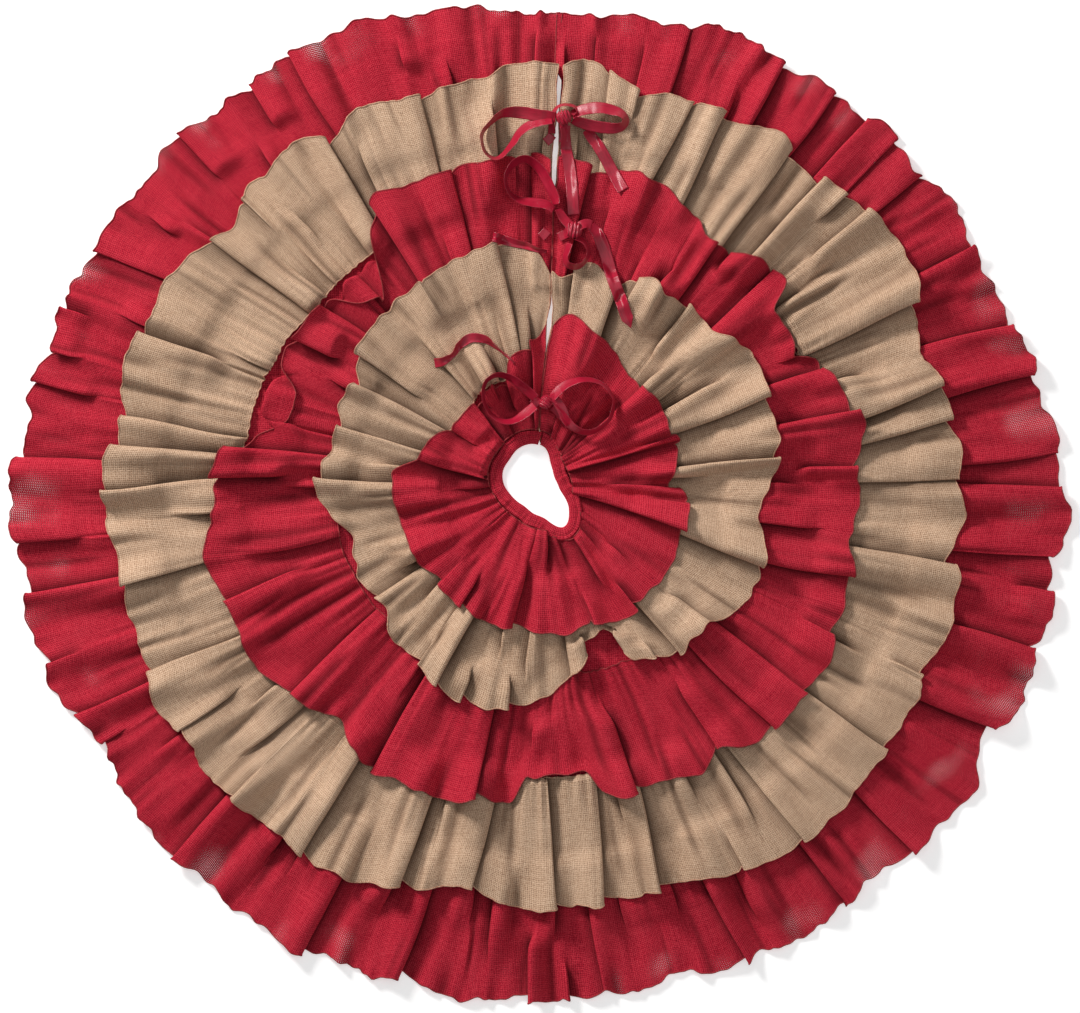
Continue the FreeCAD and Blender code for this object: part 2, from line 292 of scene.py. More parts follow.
# floor
m, nt, bs = new_mat("pale_floor")
bs.inputs["Base Color"].default_value = (0.90, 0.90, 0.90, 1)
bs.inputs["Roughness"].default_value = 0.9
bs.inputs["Specular IOR Level"].default_value = 0.1
bs.inputs["Emission Color"].default_value = (1, 1, 1, 1)
bs.inputs["Emission Strength"].default_value = 0.42
me = bpy.data.meshes.new("floor")
me.from_pydata([(-6, -6, -0.0006), (6, -6, -0.0006), (6, 6, -0.0006), (-6, 6, -0.0006)], [], [(0, 1, 2, 3)])
floor = bpy.data.objects.new("floor", me)
scn.collection.objects.link(floor)
floor.data.materials.append(m)


# ---------------------------------------------------------------------------
# mesh helpers
# ---------------------------------------------------------------------------
def grid_object(name, P, UV=None, mat=None, attrs=None, close=False):
    """P: (n, m, 3) in millimetres; a smooth quad sheet"""
    n, mm = P.shape[:2]
    idx = np.arange(n * mm).reshape(n, mm)
    a, b = idx, np.roll(idx, -1, 0)
    if not close:
        a, b = idx[:-1], idx[1:]
    q = np.stack([a[:, :-1], b[:, :-1], b[:, 1:], a[:, 1:]], -1).reshape(-1, 4)
    me = bpy.data.meshes.new(name)
    me.vertices.add(n * mm)
    me.vertices.foreach_set("co", (P.reshape(-1, 3) * MM).astype(np.float32).ravel())
    me.loops.add(q.size)
    me.loops.foreach_set("vertex_index", q.ravel().astype(np.int32))
    me.polygons.add(len(q))
    me.polygons.foreach_set("loop_start", (np.arange(len(q)) * 4).astype(np.int32))
    me.update(calc_edges=True)
    me.polygons.foreach_set("use_smooth", np.ones(len(q), bool))
    if UV is not None:
        lay = me.uv_layers.new(name="cloth")
        lay.data.foreach_set("uv", (UV.reshape(-1, 2)[q.ravel()] * MM).astype(np.float32).ravel())
    for k, v in (attrs or {}).items():
        at = me.attributes.new(k, "FLOAT", "POINT")
        at.data.foreach_set("value", v.astype(np.float32).ravel())
    me.validate()
    o = bpy.data.objects.new(name, me)
    scn.collection.objects.link(o)
    if mat is not None:
        me.materials.append(mat)
    return o


def join_meshes(name, parts, mat):
    """parts: list of (verts (n,3) mm, faces list) into one object"""
    vs, fs, off = [], [], 0
    for v, f in parts:
        vs.append(v)
        fs.append(f + off)
        off += len(v)
    V_ = np.concatenate(vs) * MM
    F_ = np.concatenate(fs)
    me = bpy.data.meshes.new(name)
    me.vertices.add(len(V_))
    me.vertices.foreach_set("co", V_.astype(np.float32).ravel())
    me.loops.add(F_.size)
    me.loops.foreach_set("vertex_index", F_.ravel().astype(np.int32))
    me.polygons.add(len(F_))
    me.polygons.foreach_set("loop_start", (np.arange(len(F_)) * 4).astype(np.int32))
    me.update(calc_edges=True)
    me.polygons.foreach_set("use_smooth", np.ones(len(F_), bool))
    me.validate()
    o = bpy.data.objects.new(name, me)
    scn.collection.objects.link(o)
    me.materials.append(mat)
    return o


def tube(path, r, sides=6, flat=1.0, twist=0.0):
    """a tube along a path (mm), narrowed at both ends"""
    path = np.asarray(path, float)
    n = len(path)
    T = np.gradient(path, axis=0)
    T /= np.linalg.norm(T, axis=1, keepdims=True) + 1e-9
    up = np.array([0.0, 0.0, 1.0])
    S = np.cross(T, up)
    bad = np.linalg.norm(S, axis=1) < 1e-3
    S[bad] = [1, 0, 0]
    S /= np.linalg.norm(S, axis=1, keepdims=True)
    B = np.cross(S, T)
    a = np.arange(sides) * 2 * np.pi / sides
    rr = r * np.ones(n)
    rr[0] *= 0.25
    rr[-1] *= 0.25
    ring = (path[:, None, :] + rr[:, None, None] * (np.cos(a)[None, :, None] * S[:, None, :] + flat * np.sin(a)[None, :, None] * B[:, None, :]))
    idx = np.arange(n * sides).reshape(n, sides)
    q = np.stack([idx[:-1], idx[1:], np.roll(idx, -1, 1)[1:], np.roll(idx, -1, 1)[:-1]], -1).reshape(-1, 4)
    return ring.reshape(-1, 3), q


def wave1(x, wl, seed, octaves=2):
    """smooth irregular wave of x (mm), about wl long, in -1..1"""
    r = np.random.default_rng(seed)
    out = np.zeros_like(x, dtype=float)
    amp = 1.0
    for _ in range(octaves):
        for _ in range(3):
            f = 2 * np.pi / (wl * r.uniform(0.7, 1.45))
            out = out + amp * np.sin(x * f + r.uniform(0, 6.28)) / 2.2
        wl *= 0.5
        amp *= 0.45
    return out


def wave2(x, y, wl, seed):
    """smooth irregular bumps over a plane, about wl apart, in -1..1"""
    r = np.random.default_rng(seed)
    out = np.zeros_like(x, dtype=float)
    for _ in range(9):
        f = 2 * np.pi / (wl * r.uniform(0.7, 1.8))
        a = r.uniform(0, 2 * np.pi)
        out = out + np.sin((x * math.cos(a) + y * math.sin(a)) * f + r.uniform(0, 6.28))
    return out / 3.6


def smooth(x):
    x = np.clip(x, 0, 1)
    return x * x * (3 - 2 * x)


def ring_interp(table, deg):
    t = np.asarray(table, float)
    n = len(t)
    x = (np.asarray(deg) % 360) / (360.0 / n)
    i = np.floor(x).astype(int)
    f = x - i
    p0, p1, p2, p3 = t[(i - 1) % n], t[i % n], t[(i + 1) % n], t[(i + 2) % n]
    return p1 + 0.5 * f * (p2 - p0 + f * (2 * p0 - 5 * p1 + 4 * p2 - p3 + f * (3 * (p1 - p2) + p3 - p0)))


# ---------------------------------------------------------------------------
# the tiers' measured outlines: hem distance from the neck centre, mm, every 5 degrees
# ---------------------------------------------------------------------------
HEM = {
    5: [604, 593, 587, 578, 573, 563, 572, 572, 563, 570, 562, 561, 557, 565, 558, 548, 542, 542, 542, 543, 555, 552, 567, 568, 569, 566, 560, 575, 570, 569, 575, 578, 581, 582, 592, 591, 605, 606, 597, 605, 602, 602, 582, 590, 593, 603, 593, 597, 602, 600, 592, 593, 594, 595, 592, 593, 593, 584, 595, 598, 599, 602, 590, 604, 606, 608, 590, 606, 603, 604, 600, 605],
    4: [483, 483, 477, 473, 463, 478, 494, 498, 487, 482, 470, 482, 477, 472, 468, 467, 477, 487, 481, 478, 465, 466, 467, 476, 461, 481, 472, 475, 457, 473, 482, 484, 490, 492, 483, 491, 499, 495, 491, 490, 491, 498, 501, 503, 501, 504, 502, 501, 504, 503, 488, 478, 471, 479, 488, 488, 482, 488, 485, 494, 507, 510, 511, 506, 503, 500, 498, 494, 497, 495, 481, 487],
    3: [367, 372, 374, 364, 358, 349, 351, 355, 365, 363, 343, 341, 357, 366, 367, 370, 368, 374, 374, 375, 371, 374, 374, 373, 373, 338, 333, 340, 348, 355, 333, 339, 347, 347, 347, 363, 370, 377, 385, 387, 387, 384, 383, 381, 375, 366, 352, 368, 382, 377, 375, 372, 369, 368, 340, 343, 353, 370, 371, 369, 379, 369, 388, 388, 388, 390, 388, 378, 372, 375, 363, 362],
    2: [265, 273, 277, 281, 285, 286, 283, 277, 268, 267, 270, 257, 265, 258, 240, 256, 250, 238, 263, 271, 279, 277, 273, 270, 267, 264, 261, 260, 260, 257, 238, 240, 241, 240, 241, 247, 253, 247, 237, 222, 223, 227, 232, 230, 225, 239, 242, 247, 255, 262, 259, 261, 263, 258, 247, 234, 224, 204, 187, 192, 234, 241, 253, 247, 252, 268, 272, 273, 273, 268, 258, 257],
    1: [151, 156, 161, 168, 167, 164, 162, 163, 162, 163, 164, 167, 172, 177, 181, 190, 199, 192, 164, 158, 150, 136, 129, 127, 122, 116, 117, 118, 114, 117, 122, 129, 131, 135, 147, 166, 166, 165, 163, 162, 162, 163, 163, 163, 161, 162, 163, 167, 167, 167, 166, 168, 169, 169, 171, 170, 174, 173, 172, 176, 182, 186, 179, 177, 177, 176, 178, 175, 176, 176, 174, 170],
}
# trunk opening, the same way, every 20 degrees
OPEN = [22, 20, 22, 28, 42, 46, 46, 43, 43, 40, 35, 32, 31, 35, 41, 58, 46, 28]
HEAD = {5: 440.0, 4: 337.0, 3: 232.0, 2: 127.0, 1: 62.0}
CUT_W = {5: 158.0, 4: 152.0, 3: 146.0, 2: 146.0, 1: 112.0}

# folds: azimuth at the inner end, azimuth at the outer end, first third, last third, depth, which side lies on top
FOLD = {
    5: [(2.2,3.5,0,2,1.5,-1), (11.8,12.5,0,2,2.1,-1), (19.8,18.2,0,2,2.4,1), (28.8,28.5,0,2,2.2,1), (38.8,38.8,0,2,1.9,-1), (43.0,43.8,0,2,1.1,-1), (47.8,47.8,0,2,1.5,1), (53.0,52.8,0,2,2.1,-1), (59.5,59.8,0,2,2.7,-1), (62.8,62.8,0,0,1.2,-1), (71.8,71.5,0,2,2.1,-1), (76.0,76.5,0,1,1.2,1), (81.2,82.8,0,1,1.9,1), (85.8,85.8,0,0,1.1,-1), (90.8,90.0,0,1,1.6,1), (102.2,102.2,0,0,1.5,-1), (107.8,107.8,1,1,1.7,1), (119.8,120.2,0,2,1.3,1), (127.2,125.8,1,2,1.6,1), (130.0,130.0,0,0,1.6,1), (136.8,135.8,1,2,1.7,1), (143.2,143.2,0,0,0.9,-1), (145.5,145.5,1,1,1.6,1), (150.0,152.5,0,2,1.9,1), (158.2,158.2,0,0,1.3,1), (159.8,159.8,2,2,1.8,-1), (164.8,164.8,2,2,1.8,1), (169.0,168.5,1,2,1.4,1), (177.2,177.2,0,2,1.6,-1), (187.2,186.5,1,2,1.0,1), (193.2,192.2,0,2,2.1,-1), (200.2,200.2,2,2,1.0,-1), (207.5,206.5,0,2,1.3,-1), (210.8,210.8,2,2,1.4,1), (215.2,215.2,0,0,1.2,-1), (225.0,225.8,0,2,2.1,-1), (234.0,234.0,0,0,1.7,1), (237.2,237.2,0,0,1.1,-1), (243.2,243.2,0,2,2.6,1), (250.0,250.0,0,0,1.5,1), (255.5,254.0,0,2,2.2,1), (261.0,261.0,0,0,1.5,1), (264.0,264.0,0,1,1.5,-1), (269.8,269.0,1,2,2.6,-1), (272.2,272.2,0,0,1.5,1), (273.5,273.5,2,2,2.7,1), (276.5,277.5,0,2,1.2,-1), (281.0,281.0,0,0,1.0,-1), (288.0,288.0,0,0,1.5,1), (292.5,294.0,0,2,2.9,-1), (297.2,297.0,0,1,1.5,-1), (306.0,306.2,0,2,2.1,-1), (316.2,315.5,0,2,1.6,-1), (330.0,332.0,0,2,2.4,-1), (340.5,341.5,0,2,2.3,1), (348.0,348.0,2,2,2.0,1), (350.5,352.0,0,2,1.4,-1), (359.8,359.5,0,2,1.7,1)],
    4: [(0.5,0.8,0,2,2.2,-1), (7.2,9.0,0,2,3.4,-1), (10.5,14.0,0,2,2.6,-1), (18.5,18.5,0,0,2.4,1), (26.5,25.5,0,2,2.7,-1), (35.8,35.8,0,0,1.6,1), (39.5,39.8,1,2,1.3,1), (43.0,43.0,2,2,2.1,-1), (46.5,46.5,0,2,2.7,1), (52.2,53.2,0,2,2.1,-1), (63.5,63.2,0,2,2.7,-1), (70.5,68.0,0,2,2.4,-1), (75.5,75.5,2,2,1.5,-1), (78.8,80.0,0,2,1.2,1), (83.5,83.5,0,0,1.2,-1), (85.8,86.2,1,2,1.0,1), (88.8,88.8,0,0,1.3,1), (97.8,96.5,0,1,2.0,-1), (108.2,107.0,0,2,1.3,-1), (119.0,118.0,0,1,1.5,1), (122.5,121.8,0,2,1.8,-1), (126.5,126.5,0,0,1.2,1), (132.0,132.0,1,1,1.0,-1), (135.5,135.5,0,0,0.9,1), (136.5,136.5,2,2,1.3,1), (138.5,138.5,0,0,1.4,-1), (143.2,143.2,0,2,1.8,1), (156.8,156.8,0,0,1.3,1), (159.0,159.2,1,2,2.6,-1), (171.2,171.2,0,2,1.7,-1), (175.2,175.0,0,2,2.2,-1), (179.8,180.8,0,2,2.0,-1), (185.0,185.0,0,0,1.3,1), (192.8,193.8,0,2,1.6,1), (207.2,206.0,0,2,1.2,-1), (214.8,214.2,1,2,1.4,1), (217.8,217.8,0,0,1.4,-1), (223.2,222.5,0,1,1.4,1), (225.8,225.8,2,2,1.1,-1), (232.8,232.8,0,0,0.9,-1), (236.2,237.5,0,2,2.4,1), (251.0,250.8,0,2,2.5,1), (253.8,253.8,0,0,1.0,-1), (262.0,260.2,0,2,3.1,1), (271.0,272.5,0,2,2.4,1), (281.0,278.5,0,2,1.9,1), (284.2,284.2,0,0,1.4,-1), (288.2,286.5,0,2,3.2,1), (296.8,296.8,0,0,1.6,1), (298.0,298.0,2,2,1.3,-1), (302.5,303.0,0,1,1.7,1), (305.5,306.8,0,2,1.1,-1), (321.2,322.8,0,2,1.9,1), (332.2,332.2,0,0,1.8,1), (333.5,333.5,2,2,1.4,1), (347.8,348.5,0,2,3.5,1)],
    3: [(3.2,3.0,1,2,2.3,1), (13.5,12.2,0,2,3.2,1), (23.0,21.8,0,2,2.1,1), (26.5,26.5,2,2,1.3,-1), (40.8,42.0,0,2,2.3,1), (50.0,50.0,2,2,1.8,1), (53.2,53.2,0,2,1.8,-1), (58.0,58.0,0,0,3.1,1), (65.2,65.2,0,0,1.0,1), (75.5,75.5,1,1,1.3,1), (83.2,80.2,0,2,2.0,-1), (91.8,90.8,0,2,1.9,1), (94.2,94.2,2,2,1.4,-1), (107.0,105.5,0,2,1.6,-1), (111.2,111.2,0,0,0.9,1), (120.0,120.8,0,2,2.1,1), (132.0,130.8,0,2,1.3,-1), (138.5,141.0,0,2,1.7,-1), (147.8,149.0,1,2,2.2,1), (153.5,153.5,0,0,1.4,1), (166.5,166.5,1,1,1.4,-1), (173.5,173.5,0,2,2.5,-1), (178.5,178.8,1,2,3.2,1), (181.2,181.2,0,0,1.0,1), (195.0,193.2,0,1,1.0,1), (200.0,200.5,1,2,1.8,-1), (218.2,220.5,0,2,1.4,-1), (237.0,237.0,0,0,1.0,1), (240.2,239.8,0,2,2.1,-1), (258.2,258.2,0,2,2.7,1), (268.5,268.5,1,1,1.0,-1), (286.0,287.5,1,2,3.0,1), (305.0,304.0,1,2,1.4,-1), (313.2,313.8,0,2,1.5,-1), (321.5,322.0,0,2,1.7,1), (333.0,333.0,2,2,1.0,1), (341.0,343.5,0,2,2.4,-1), (350.2,351.2,0,1,2.3,-1), (359.8,359.8,0,0,1.4,1)],
    2: [(2.5,2.5,0,0,1.5,-1), (6.5,6.0,0,2,2.2,1), (21.2,20.8,0,2,2.5,-1), (28.8,30.2,0,1,2.0,1), (35.0,35.0,0,0,1.4,-1), (42.5,42.5,0,0,1.8,1), (47.2,49.8,1,2,1.7,1), (63.8,63.8,2,2,2.2,1), (65.0,68.0,0,2,2.8,-1), (80.2,80.5,0,2,1.8,1), (83.5,86.2,0,2,2.4,-1), (87.8,87.8,0,0,1.4,1), (93.8,93.8,0,0,2.6,-1), (97.2,100.0,0,2,1.2,-1), (104.5,104.5,0,0,1.2,1), (112.2,112.2,0,0,2.5,-1), (120.2,120.2,0,0,1.3,1), (120.2,120.2,2,2,1.1,-1), (127.2,130.5,0,1,1.0,1), (144.0,144.5,1,2,1.5,1), (151.0,151.8,0,2,1.8,-1), (166.8,164.2,0,2,2.5,-1), (173.2,173.2,0,0,1.0,-1), (182.2,178.8,0,2,2.5,-1), (212.2,212.2,0,0,2.3,1), (216.8,215.0,0,2,1.5,-1), (225.5,225.5,0,0,1.0,-1), (236.5,236.5,2,2,1.2,-1), (244.2,242.8,0,2,2.0,1), (250.0,250.0,2,2,2.9,1), (256.8,256.8,0,0,1.4,-1), (262.2,262.2,2,2,2.2,1), (269.0,266.0,0,1,1.5,-1), (280.8,279.8,0,2,1.7,-1), (286.0,285.5,1,2,1.9,1), (296.5,297.5,1,2,2.2,-1), (303.8,303.8,2,2,1.6,1), (309.2,310.0,0,2,1.8,-1), (319.2,321.2,1,2,1.6,1), (342.2,339.5,0,2,2.1,-1)],
    1: [(0.0,357.8,1,2,1.4,1), (19.2,16.0,0,2,2.0,-1), (19.8,19.8,2,2,1.0,1), (43.2,43.2,0,2,1.3,1), (51.2,51.2,0,0,1.5,1), (74.8,74.8,0,0,1.2,1), (89.0,93.8,0,2,3.1,1), (106.0,107.0,1,2,2.0,1), (114.8,114.8,2,2,1.4,-1), (116.5,116.5,0,0,1.5,-1), (122.5,122.5,2,2,2.2,1), (132.2,129.5,0,2,2.8,-1), (149.0,148.5,1,2,1.4,1), (171.5,167.5,0,2,3.5,1), (184.8,184.8,0,0,1.4,1), (224.8,224.8,2,2,1.0,-1), (237.8,237.8,2,2,2.1,1), (263.8,259.5,1,2,1.5,1), (275.5,275.5,0,0,3.5,1), (289.8,289.8,0,0,1.2,1), (291.0,291.0,2,2,1.4,-1), (303.2,302.5,0,1,1.8,-1), (308.0,308.0,2,2,2.3,1), (312.8,312.8,0,0,1.4,1), (319.5,319.5,1,1,1.2,1), (345.8,342.2,0,2,2.0,-1), (352.2,352.2,2,2,1.0,1)],
}


def hem_r(k, deg):
    return ring_interp(HEM[k], deg)


def open_r(deg):
    return ring_interp(OPEN, deg)


def head_r(k, deg):
    if k == 1:
        return open_r(deg) + 17.0
    r = hem_r(k, deg) - CUT_W[k] * 0.985
    lo, hi = {5: (395, 452), 4: (326, 356), 3: (222, 240), 2: (118, 138)}[k]
    # a smoothed heading: the seam does not follow every notch of the hem
    rs = sum(hem_r(k, deg + d) for d in (-24, -16, -8, 0, 8, 16, 24)) / 7.0 - CUT_W[k] * 0.97
    return np.clip(0.25 * r + 0.75 * rs, lo, hi)


def slit_az(r):
    """azimuth of the slit line at distance r, and half of the gap there in mm"""
    az = np.interp(r, [40, 60, 205, 240, 320, 620], [89.0, 88.6, 85.6, 86.6, 87.0, 87.0])
    g = np.interp(r, [0, 150, 172, 190, 214, 228, 330, 345, 372, 398, 415, 436, 450, 478, 495, 520, 620],
                  [0.7, 0.7, 2.5, 4.2, 1.2, 0.9, 0.9, 3.2, 4.6, 3.4, 2.0, 2.4, 3.6, 2.6, 1.2, 1.0, 1.4])
    return az, g


# ---------------------------------------------------------------------------
# what already lies on the floor: a polar height map that each tier rests on
# ---------------------------------------------------------------------------
NA, RSTEP, RMAX = 1440, 2.0, 640.0
NR = int(RMAX / RSTEP)
height_map = np.full((NA, NR), 1.2)


def polar(P):
    x, y = P[..., 0] - CX, P[..., 1] - CY
    return np.degrees(np.arctan2(y, x)) % 360.0, np.hypot(x, y)


def map_add(P):
    a, r = polar(P)
    ia = np.round(a / 360.0 * NA).astype(int) % NA
    ir = np.clip(np.round(r / RSTEP).astype(int), 0, NR - 1)
    np.maximum.at(height_map, (ia.ravel(), ir.ravel()), P[..., 2].ravel())


def spread(a, na, nr):
    """running maximum over +-na angles and +-nr radii"""
    out = a.copy()
    for d in range(1, na + 1):
        out = np.maximum(out, np.maximum(np.roll(a, d, 0), np.roll(a, -d, 0)))
    b = out.copy()
    for d in range(1, nr + 1):
        b[:, d:] = np.maximum(b[:, d:], out[:, :-d])
        b[:, :-d] = np.maximum(b[:, :-d], out[:, d:])
    return b


def blur(a, na, nr, times=2):
    for _ in range(times):
        c = sum(np.roll(a, d, 0) for d in range(-na, na + 1)) / (2 * na + 1)
        p = np.pad(c, ((0, 0), (nr, nr)), mode="edge")
        a = sum(p[:, d:d + a.shape[1]] for d in range(2 * nr + 1)) / (2 * nr + 1)
    return a


def map_at(m, deg, r):
    x = (deg % 360.0) / 360.0 * NA
    i = np.floor(x).astype(int)
    f = x - i
    y = np.clip(r / RSTEP, 0, NR - 1.001)
    j = np.floor(y).astype(int)
    g = y - j
    a = m[i % NA, j] * (1 - f) + m[(i + 1) % NA, j] * f
    b = m[i % NA, j + 1] * (1 - f) + m[(i + 1) % NA, j + 1] * f
    return a * (1 - g) + b * g


# places where a tier's hem has been pushed back and the next tier's heading shows
BARE = {3: [(127.0, 174.0), (265.0, 282.0), (24.0, 39.0)], 2: [(279.0, 303.0)], 1: [(103.0, 151.0)]}


def bare(k, deg):
    w = 0.0 * np.asarray(deg, float)
    for a, b in BARE.get(k, []):
        d = np.asarray(deg, float) % 360.0
        w = np.maximum(w, smooth((d - a) / 3.0) * smooth((b - d) / 3.0))
    return w


def hem_fit(k, deg):
    r = hem_r(k, deg)
    if k in BARE:
        w = bare(k, deg)
        r = r * (1 - w) + np.minimum(r, head_r(k + 1, deg) - 5.0) * w
    return r


def cover_r(k, deg):
    """how far out the next inner tier hides tier k"""
    if k == 1:
        return head_r(1, deg) + 6.0
    return np.maximum(hem_fit(k - 1, deg), head_r(k, deg) + 1.0)


# ---------------------------------------------------------------------------
# one tier of gathered cloth
# ---------------------------------------------------------------------------
def build_tier(k):
    r_ref = float(np.mean(HEM[k]))
    col_step, row_step = {5: (3.2, 3.6), 4: (3.0, 3.6), 3: (2.8, 3.4), 2: (2.6, 3.2), 1: (2.4, 3.0)}[k]
    az0, g0 = slit_az(r_ref)
    a_start, a_end = az0, az0 + 360.0
    folds = []
    for f0, f1, b0, b1, s, side in FOLD[k]:
        mid = ((f0 + f1) / 2.0 if abs(f0 - f1) < 180 else (f0 + f1 + 360) / 2.0)
        m_ = mid % 360.0
        if m_ < a_start:
            m_ += 360.0
        d = ((f1 - f0 + 180) % 360) - 180
        if m_ - a_start < 2.2 * 300 / r_ref or a_end - m_ < 2.2 * 300 / r_ref:
            continue
        folds.append([m_, d, b0, b1, s, side])
    folds.sort()
    # columns: even, and close together at the folds
    edges = [a_start]
    deg_mm = 360.0 / (2 * math.pi * r_ref)
    t = a_start
    fp = np.array([f[0] for f in folds])
    while t < a_end - 1e-6:
        dist = np.abs(fp - t).min() / deg_mm if len(fp) else 99
        step = 0.62 if dist < 3.0 else (1.2 if dist < 6.0 else col_step)
        t = min(a_end, t + step * deg_mm)
        edges.append(t)
    t = np.array(edges)
    # a column exactly at the back, where the strip is pieced
    i270 = int(np.argmin(np.abs(t - 270.0)))
    t[i270] = 270.0
    n = len(t)
    m_rows = int(CUT_W[k] / row_step) + 1
    v = np.linspace(0, 1, m_rows) ** 1.0
    T = np.repeat(t[:, None], m_rows, 1)
    V_ = np.repeat(v[None, :], n, 0)
    # folds drift sideways between their inner and outer ends
    if folds:
        fx = np.array([a_start] + [f[0] for f in folds] + [a_end])
        fd = np.array([0.0] + [f[1] for f in folds] + [0.0])
        drift = np.interp(t, fx, fd)[:, None] * (V_ - 0.5)
    else:
        drift = 0 * V_
    A = T + drift * 0.9 + wave1(T, 23.0, 91 * k, 1) * 0.5 * np.sin(V_ * 4.4 + k) * (300.0 / r_ref)
    rh, rm, rc = head_r(k, A), hem_fit(k, A), cover_r(k, A)
    rm = rm + wave1(T * r_ref * math.pi / 180, 34.0, 17 * k, 2) * {5: 2.6, 4: 1.6, 3: 1.6, 2: 1.8, 1: 1.2}[k] + wave1(T * r_ref * math.pi / 180, 95.0, 19 * k, 1) * {5: 4.0, 4: 3.5, 3: 3.5, 2: 3.0, 1: 2.0}[k]
    R = rh + (rm - rh) * V_
    turn = 0.0 * V_
    if k == 3:
        # two stretches of this hem are turned back over the cloth
        azm = A % 360.0
        turn = np.exp(-((azm - 131.5) / 5.6) ** 4) + 0.9 * np.exp(-((azm - 162.5) / 6.2) ** 4)
        back_f = np.where(V_ < 0.70, V_ / 0.70, 1.0 - (V_ - 0.70) / 0.70 * 0.95)
        R = rh + (rm - rh) * (V_ * (1 - turn) + back_f * turn)
        turn = turn * smooth((V_ - 0.67) / 0.07) * (4.6 + 2.0 * (V_ - 0.7) / 0.3)
    vin = np.clip((rc - rh) / np.maximum(rm - rh, 1.0), 0.0, 0.8)
    S = T * (math.pi / 180.0) * r_ref            # mm along the strip, nominal
    dS = np.zeros_like(S)                        # sideways shift, mm
    Z = np.zeros_like(S)
    dR = np.zeros_like(S)
    # painted shade, per vertex: how far the colour is darkened in crevices
    painted_shade = np.zeros_like(S)
    for i, (m_, d, b0, b1, s, side) in enumerate(folds):
        left = (m_ - (folds[i - 1][0] if i else a_start)) / deg_mm
        right = ((folds[i + 1][0] if i + 1 < len(folds) else a_end) - m_) / deg_mm
        va = 0.0 if b0 == 0 else (b0 / 3.0 - 0.10)
        vb = (b1 + 1) / 3.0
        vv = np.clip((V_ - vin) / np.maximum(1 - vin, 0.05), -1, 1)
        env = np.ones_like(V_)
        if b0 > 0:
            env = env * smooth((vv - va) / 0.22)
        if b1 < 2:
            env = env * smooth((vb + 0.12 - vv) / 0.38)
        else:
            env = env * (1.0 - 0.30 * smooth((vv - 0.4) / 0.6))
        near_slit = 1.0 - 0.45 * math.exp(-((((m_ - SLIT + 180) % 360) - 180) / 13.0) ** 2)
        depth = (5.0 + (s - 0.9) * 4.2) * near_slit
        high = (6.2 + (s - 0.9) * 4.9) * near_slit
        if k == 1:
            depth *= 0.8
            high *= 0.75
        x = (T - m_) / deg_mm * (R / r_ref) * 1.0
        if side < 0:
            x = -x
            lo, hi = right, left
        else:
            lo, hi = left, right
        # the top layer lies on the -x side; its width of influence
        depth = min(depth, 0.42 * lo, 0.42 * hi)
        h1 = max(depth + 2.5, min(44.0, 0.66 * lo)) * np.ones_like(x)
        h2 = max(depth + 2.5, min(24.0, 0.45 * hi)) * np.ones_like(x)
        e = 1.5
        D = depth * env
        q = 0
        fall = np.clip((x + e) / (2 * e), 0, 1)
        away = (1 - smooth((np.abs(x) - e) / (np.where(x < 0, h1, h2) - e)))
        shift = D * (0.5 - fall) * away
        dS += shift * (1 if side > 0 else -1)
        # a rounded nose: highest a little way back from the fold's edge
        sb = np.clip((-x - e) / (h1 - e), 0, 1)
        nose = 0.24
        back = np.where(sb < nose, 0.42 + 0.58 * np.sqrt(np.clip(1 - ((nose - sb) / nose) ** 2, 0, 1)), (1 - smooth((sb - nose) / (1 - nose))) ** 0.9)
        top = np.where(x < -e, back, 0.42 * (1 - smooth(fall)))
        Z = np.maximum(Z, 0) + np.minimum(Z, 0)
        Z += high * env * top
        # painted shade on the lower panel just past the fold's edge, where the top layer's shadow falls
        painted_shade = np.maximum(painted_shade, env * min(1.0, 0.35 + 0.3 * s) * np.where(x > -e, np.exp(-(np.clip(x - 0.5 * depth, 0, None) / 7.5) ** 1.5), 0))
        # a shallow valley on the low side, and the stepped hem
        Z -= 1.6 * env * np.where(x > e, np.exp(-((x - e) / 7.0) ** 2), 0) * min(1.0, s / 2)
        if b1 == 2:
            dR += env * smooth((vv - 0.45) / 0.55) * (3.0 + 2.0 * (s - 1)) * ((0.5 - fall) * 2 * away)
    # softer creases in the panels between folds, from the heading outwards or the hem inwards
    rc_ = np.random.default_rng(500 + k)
    marks = [a_start] + [f[0] for f in folds] + [a_end]
    for i in range(len(marks) - 1):
        gap_mm = (marks[i + 1] - marks[i]) / deg_mm
        for j in range(int(gap_mm / 24.0)):
            u = marks[i] + (marks[i + 1] - marks[i]) * rc_.uniform(0.15, 0.85)
            wd, am, ln = rc_.uniform(2.6, 7.5), rc_.uniform(1.2, 4.2), rc_.uniform(0.25, 0.75)
            lean = rc_.uniform(-9, 9)
            xx_ = (T - u) / deg_mm + lean * (V_ - 0.5)
            along = (1 - smooth((V_ - ln) / 0.25)) if rc_.random() < 0.55 else smooth((V_ - (1 - ln)) / 0.25)
            # painted shade down the middle of each soft crease
            painted_shade = np.maximum(painted_shade, 0.16 * am * along * np.exp(-(xx_ / (0.8 * wd)) ** 2))
            Z -= am * along * (np.exp(-(xx_ / wd) ** 2) - 0.55 * np.exp(-((xx_ - 2.1 * wd) / (1.6 * wd)) ** 2) - 0.25 * np.exp(-((xx_ + 2.1 * wd) / (1.6 * wd)) ** 2))
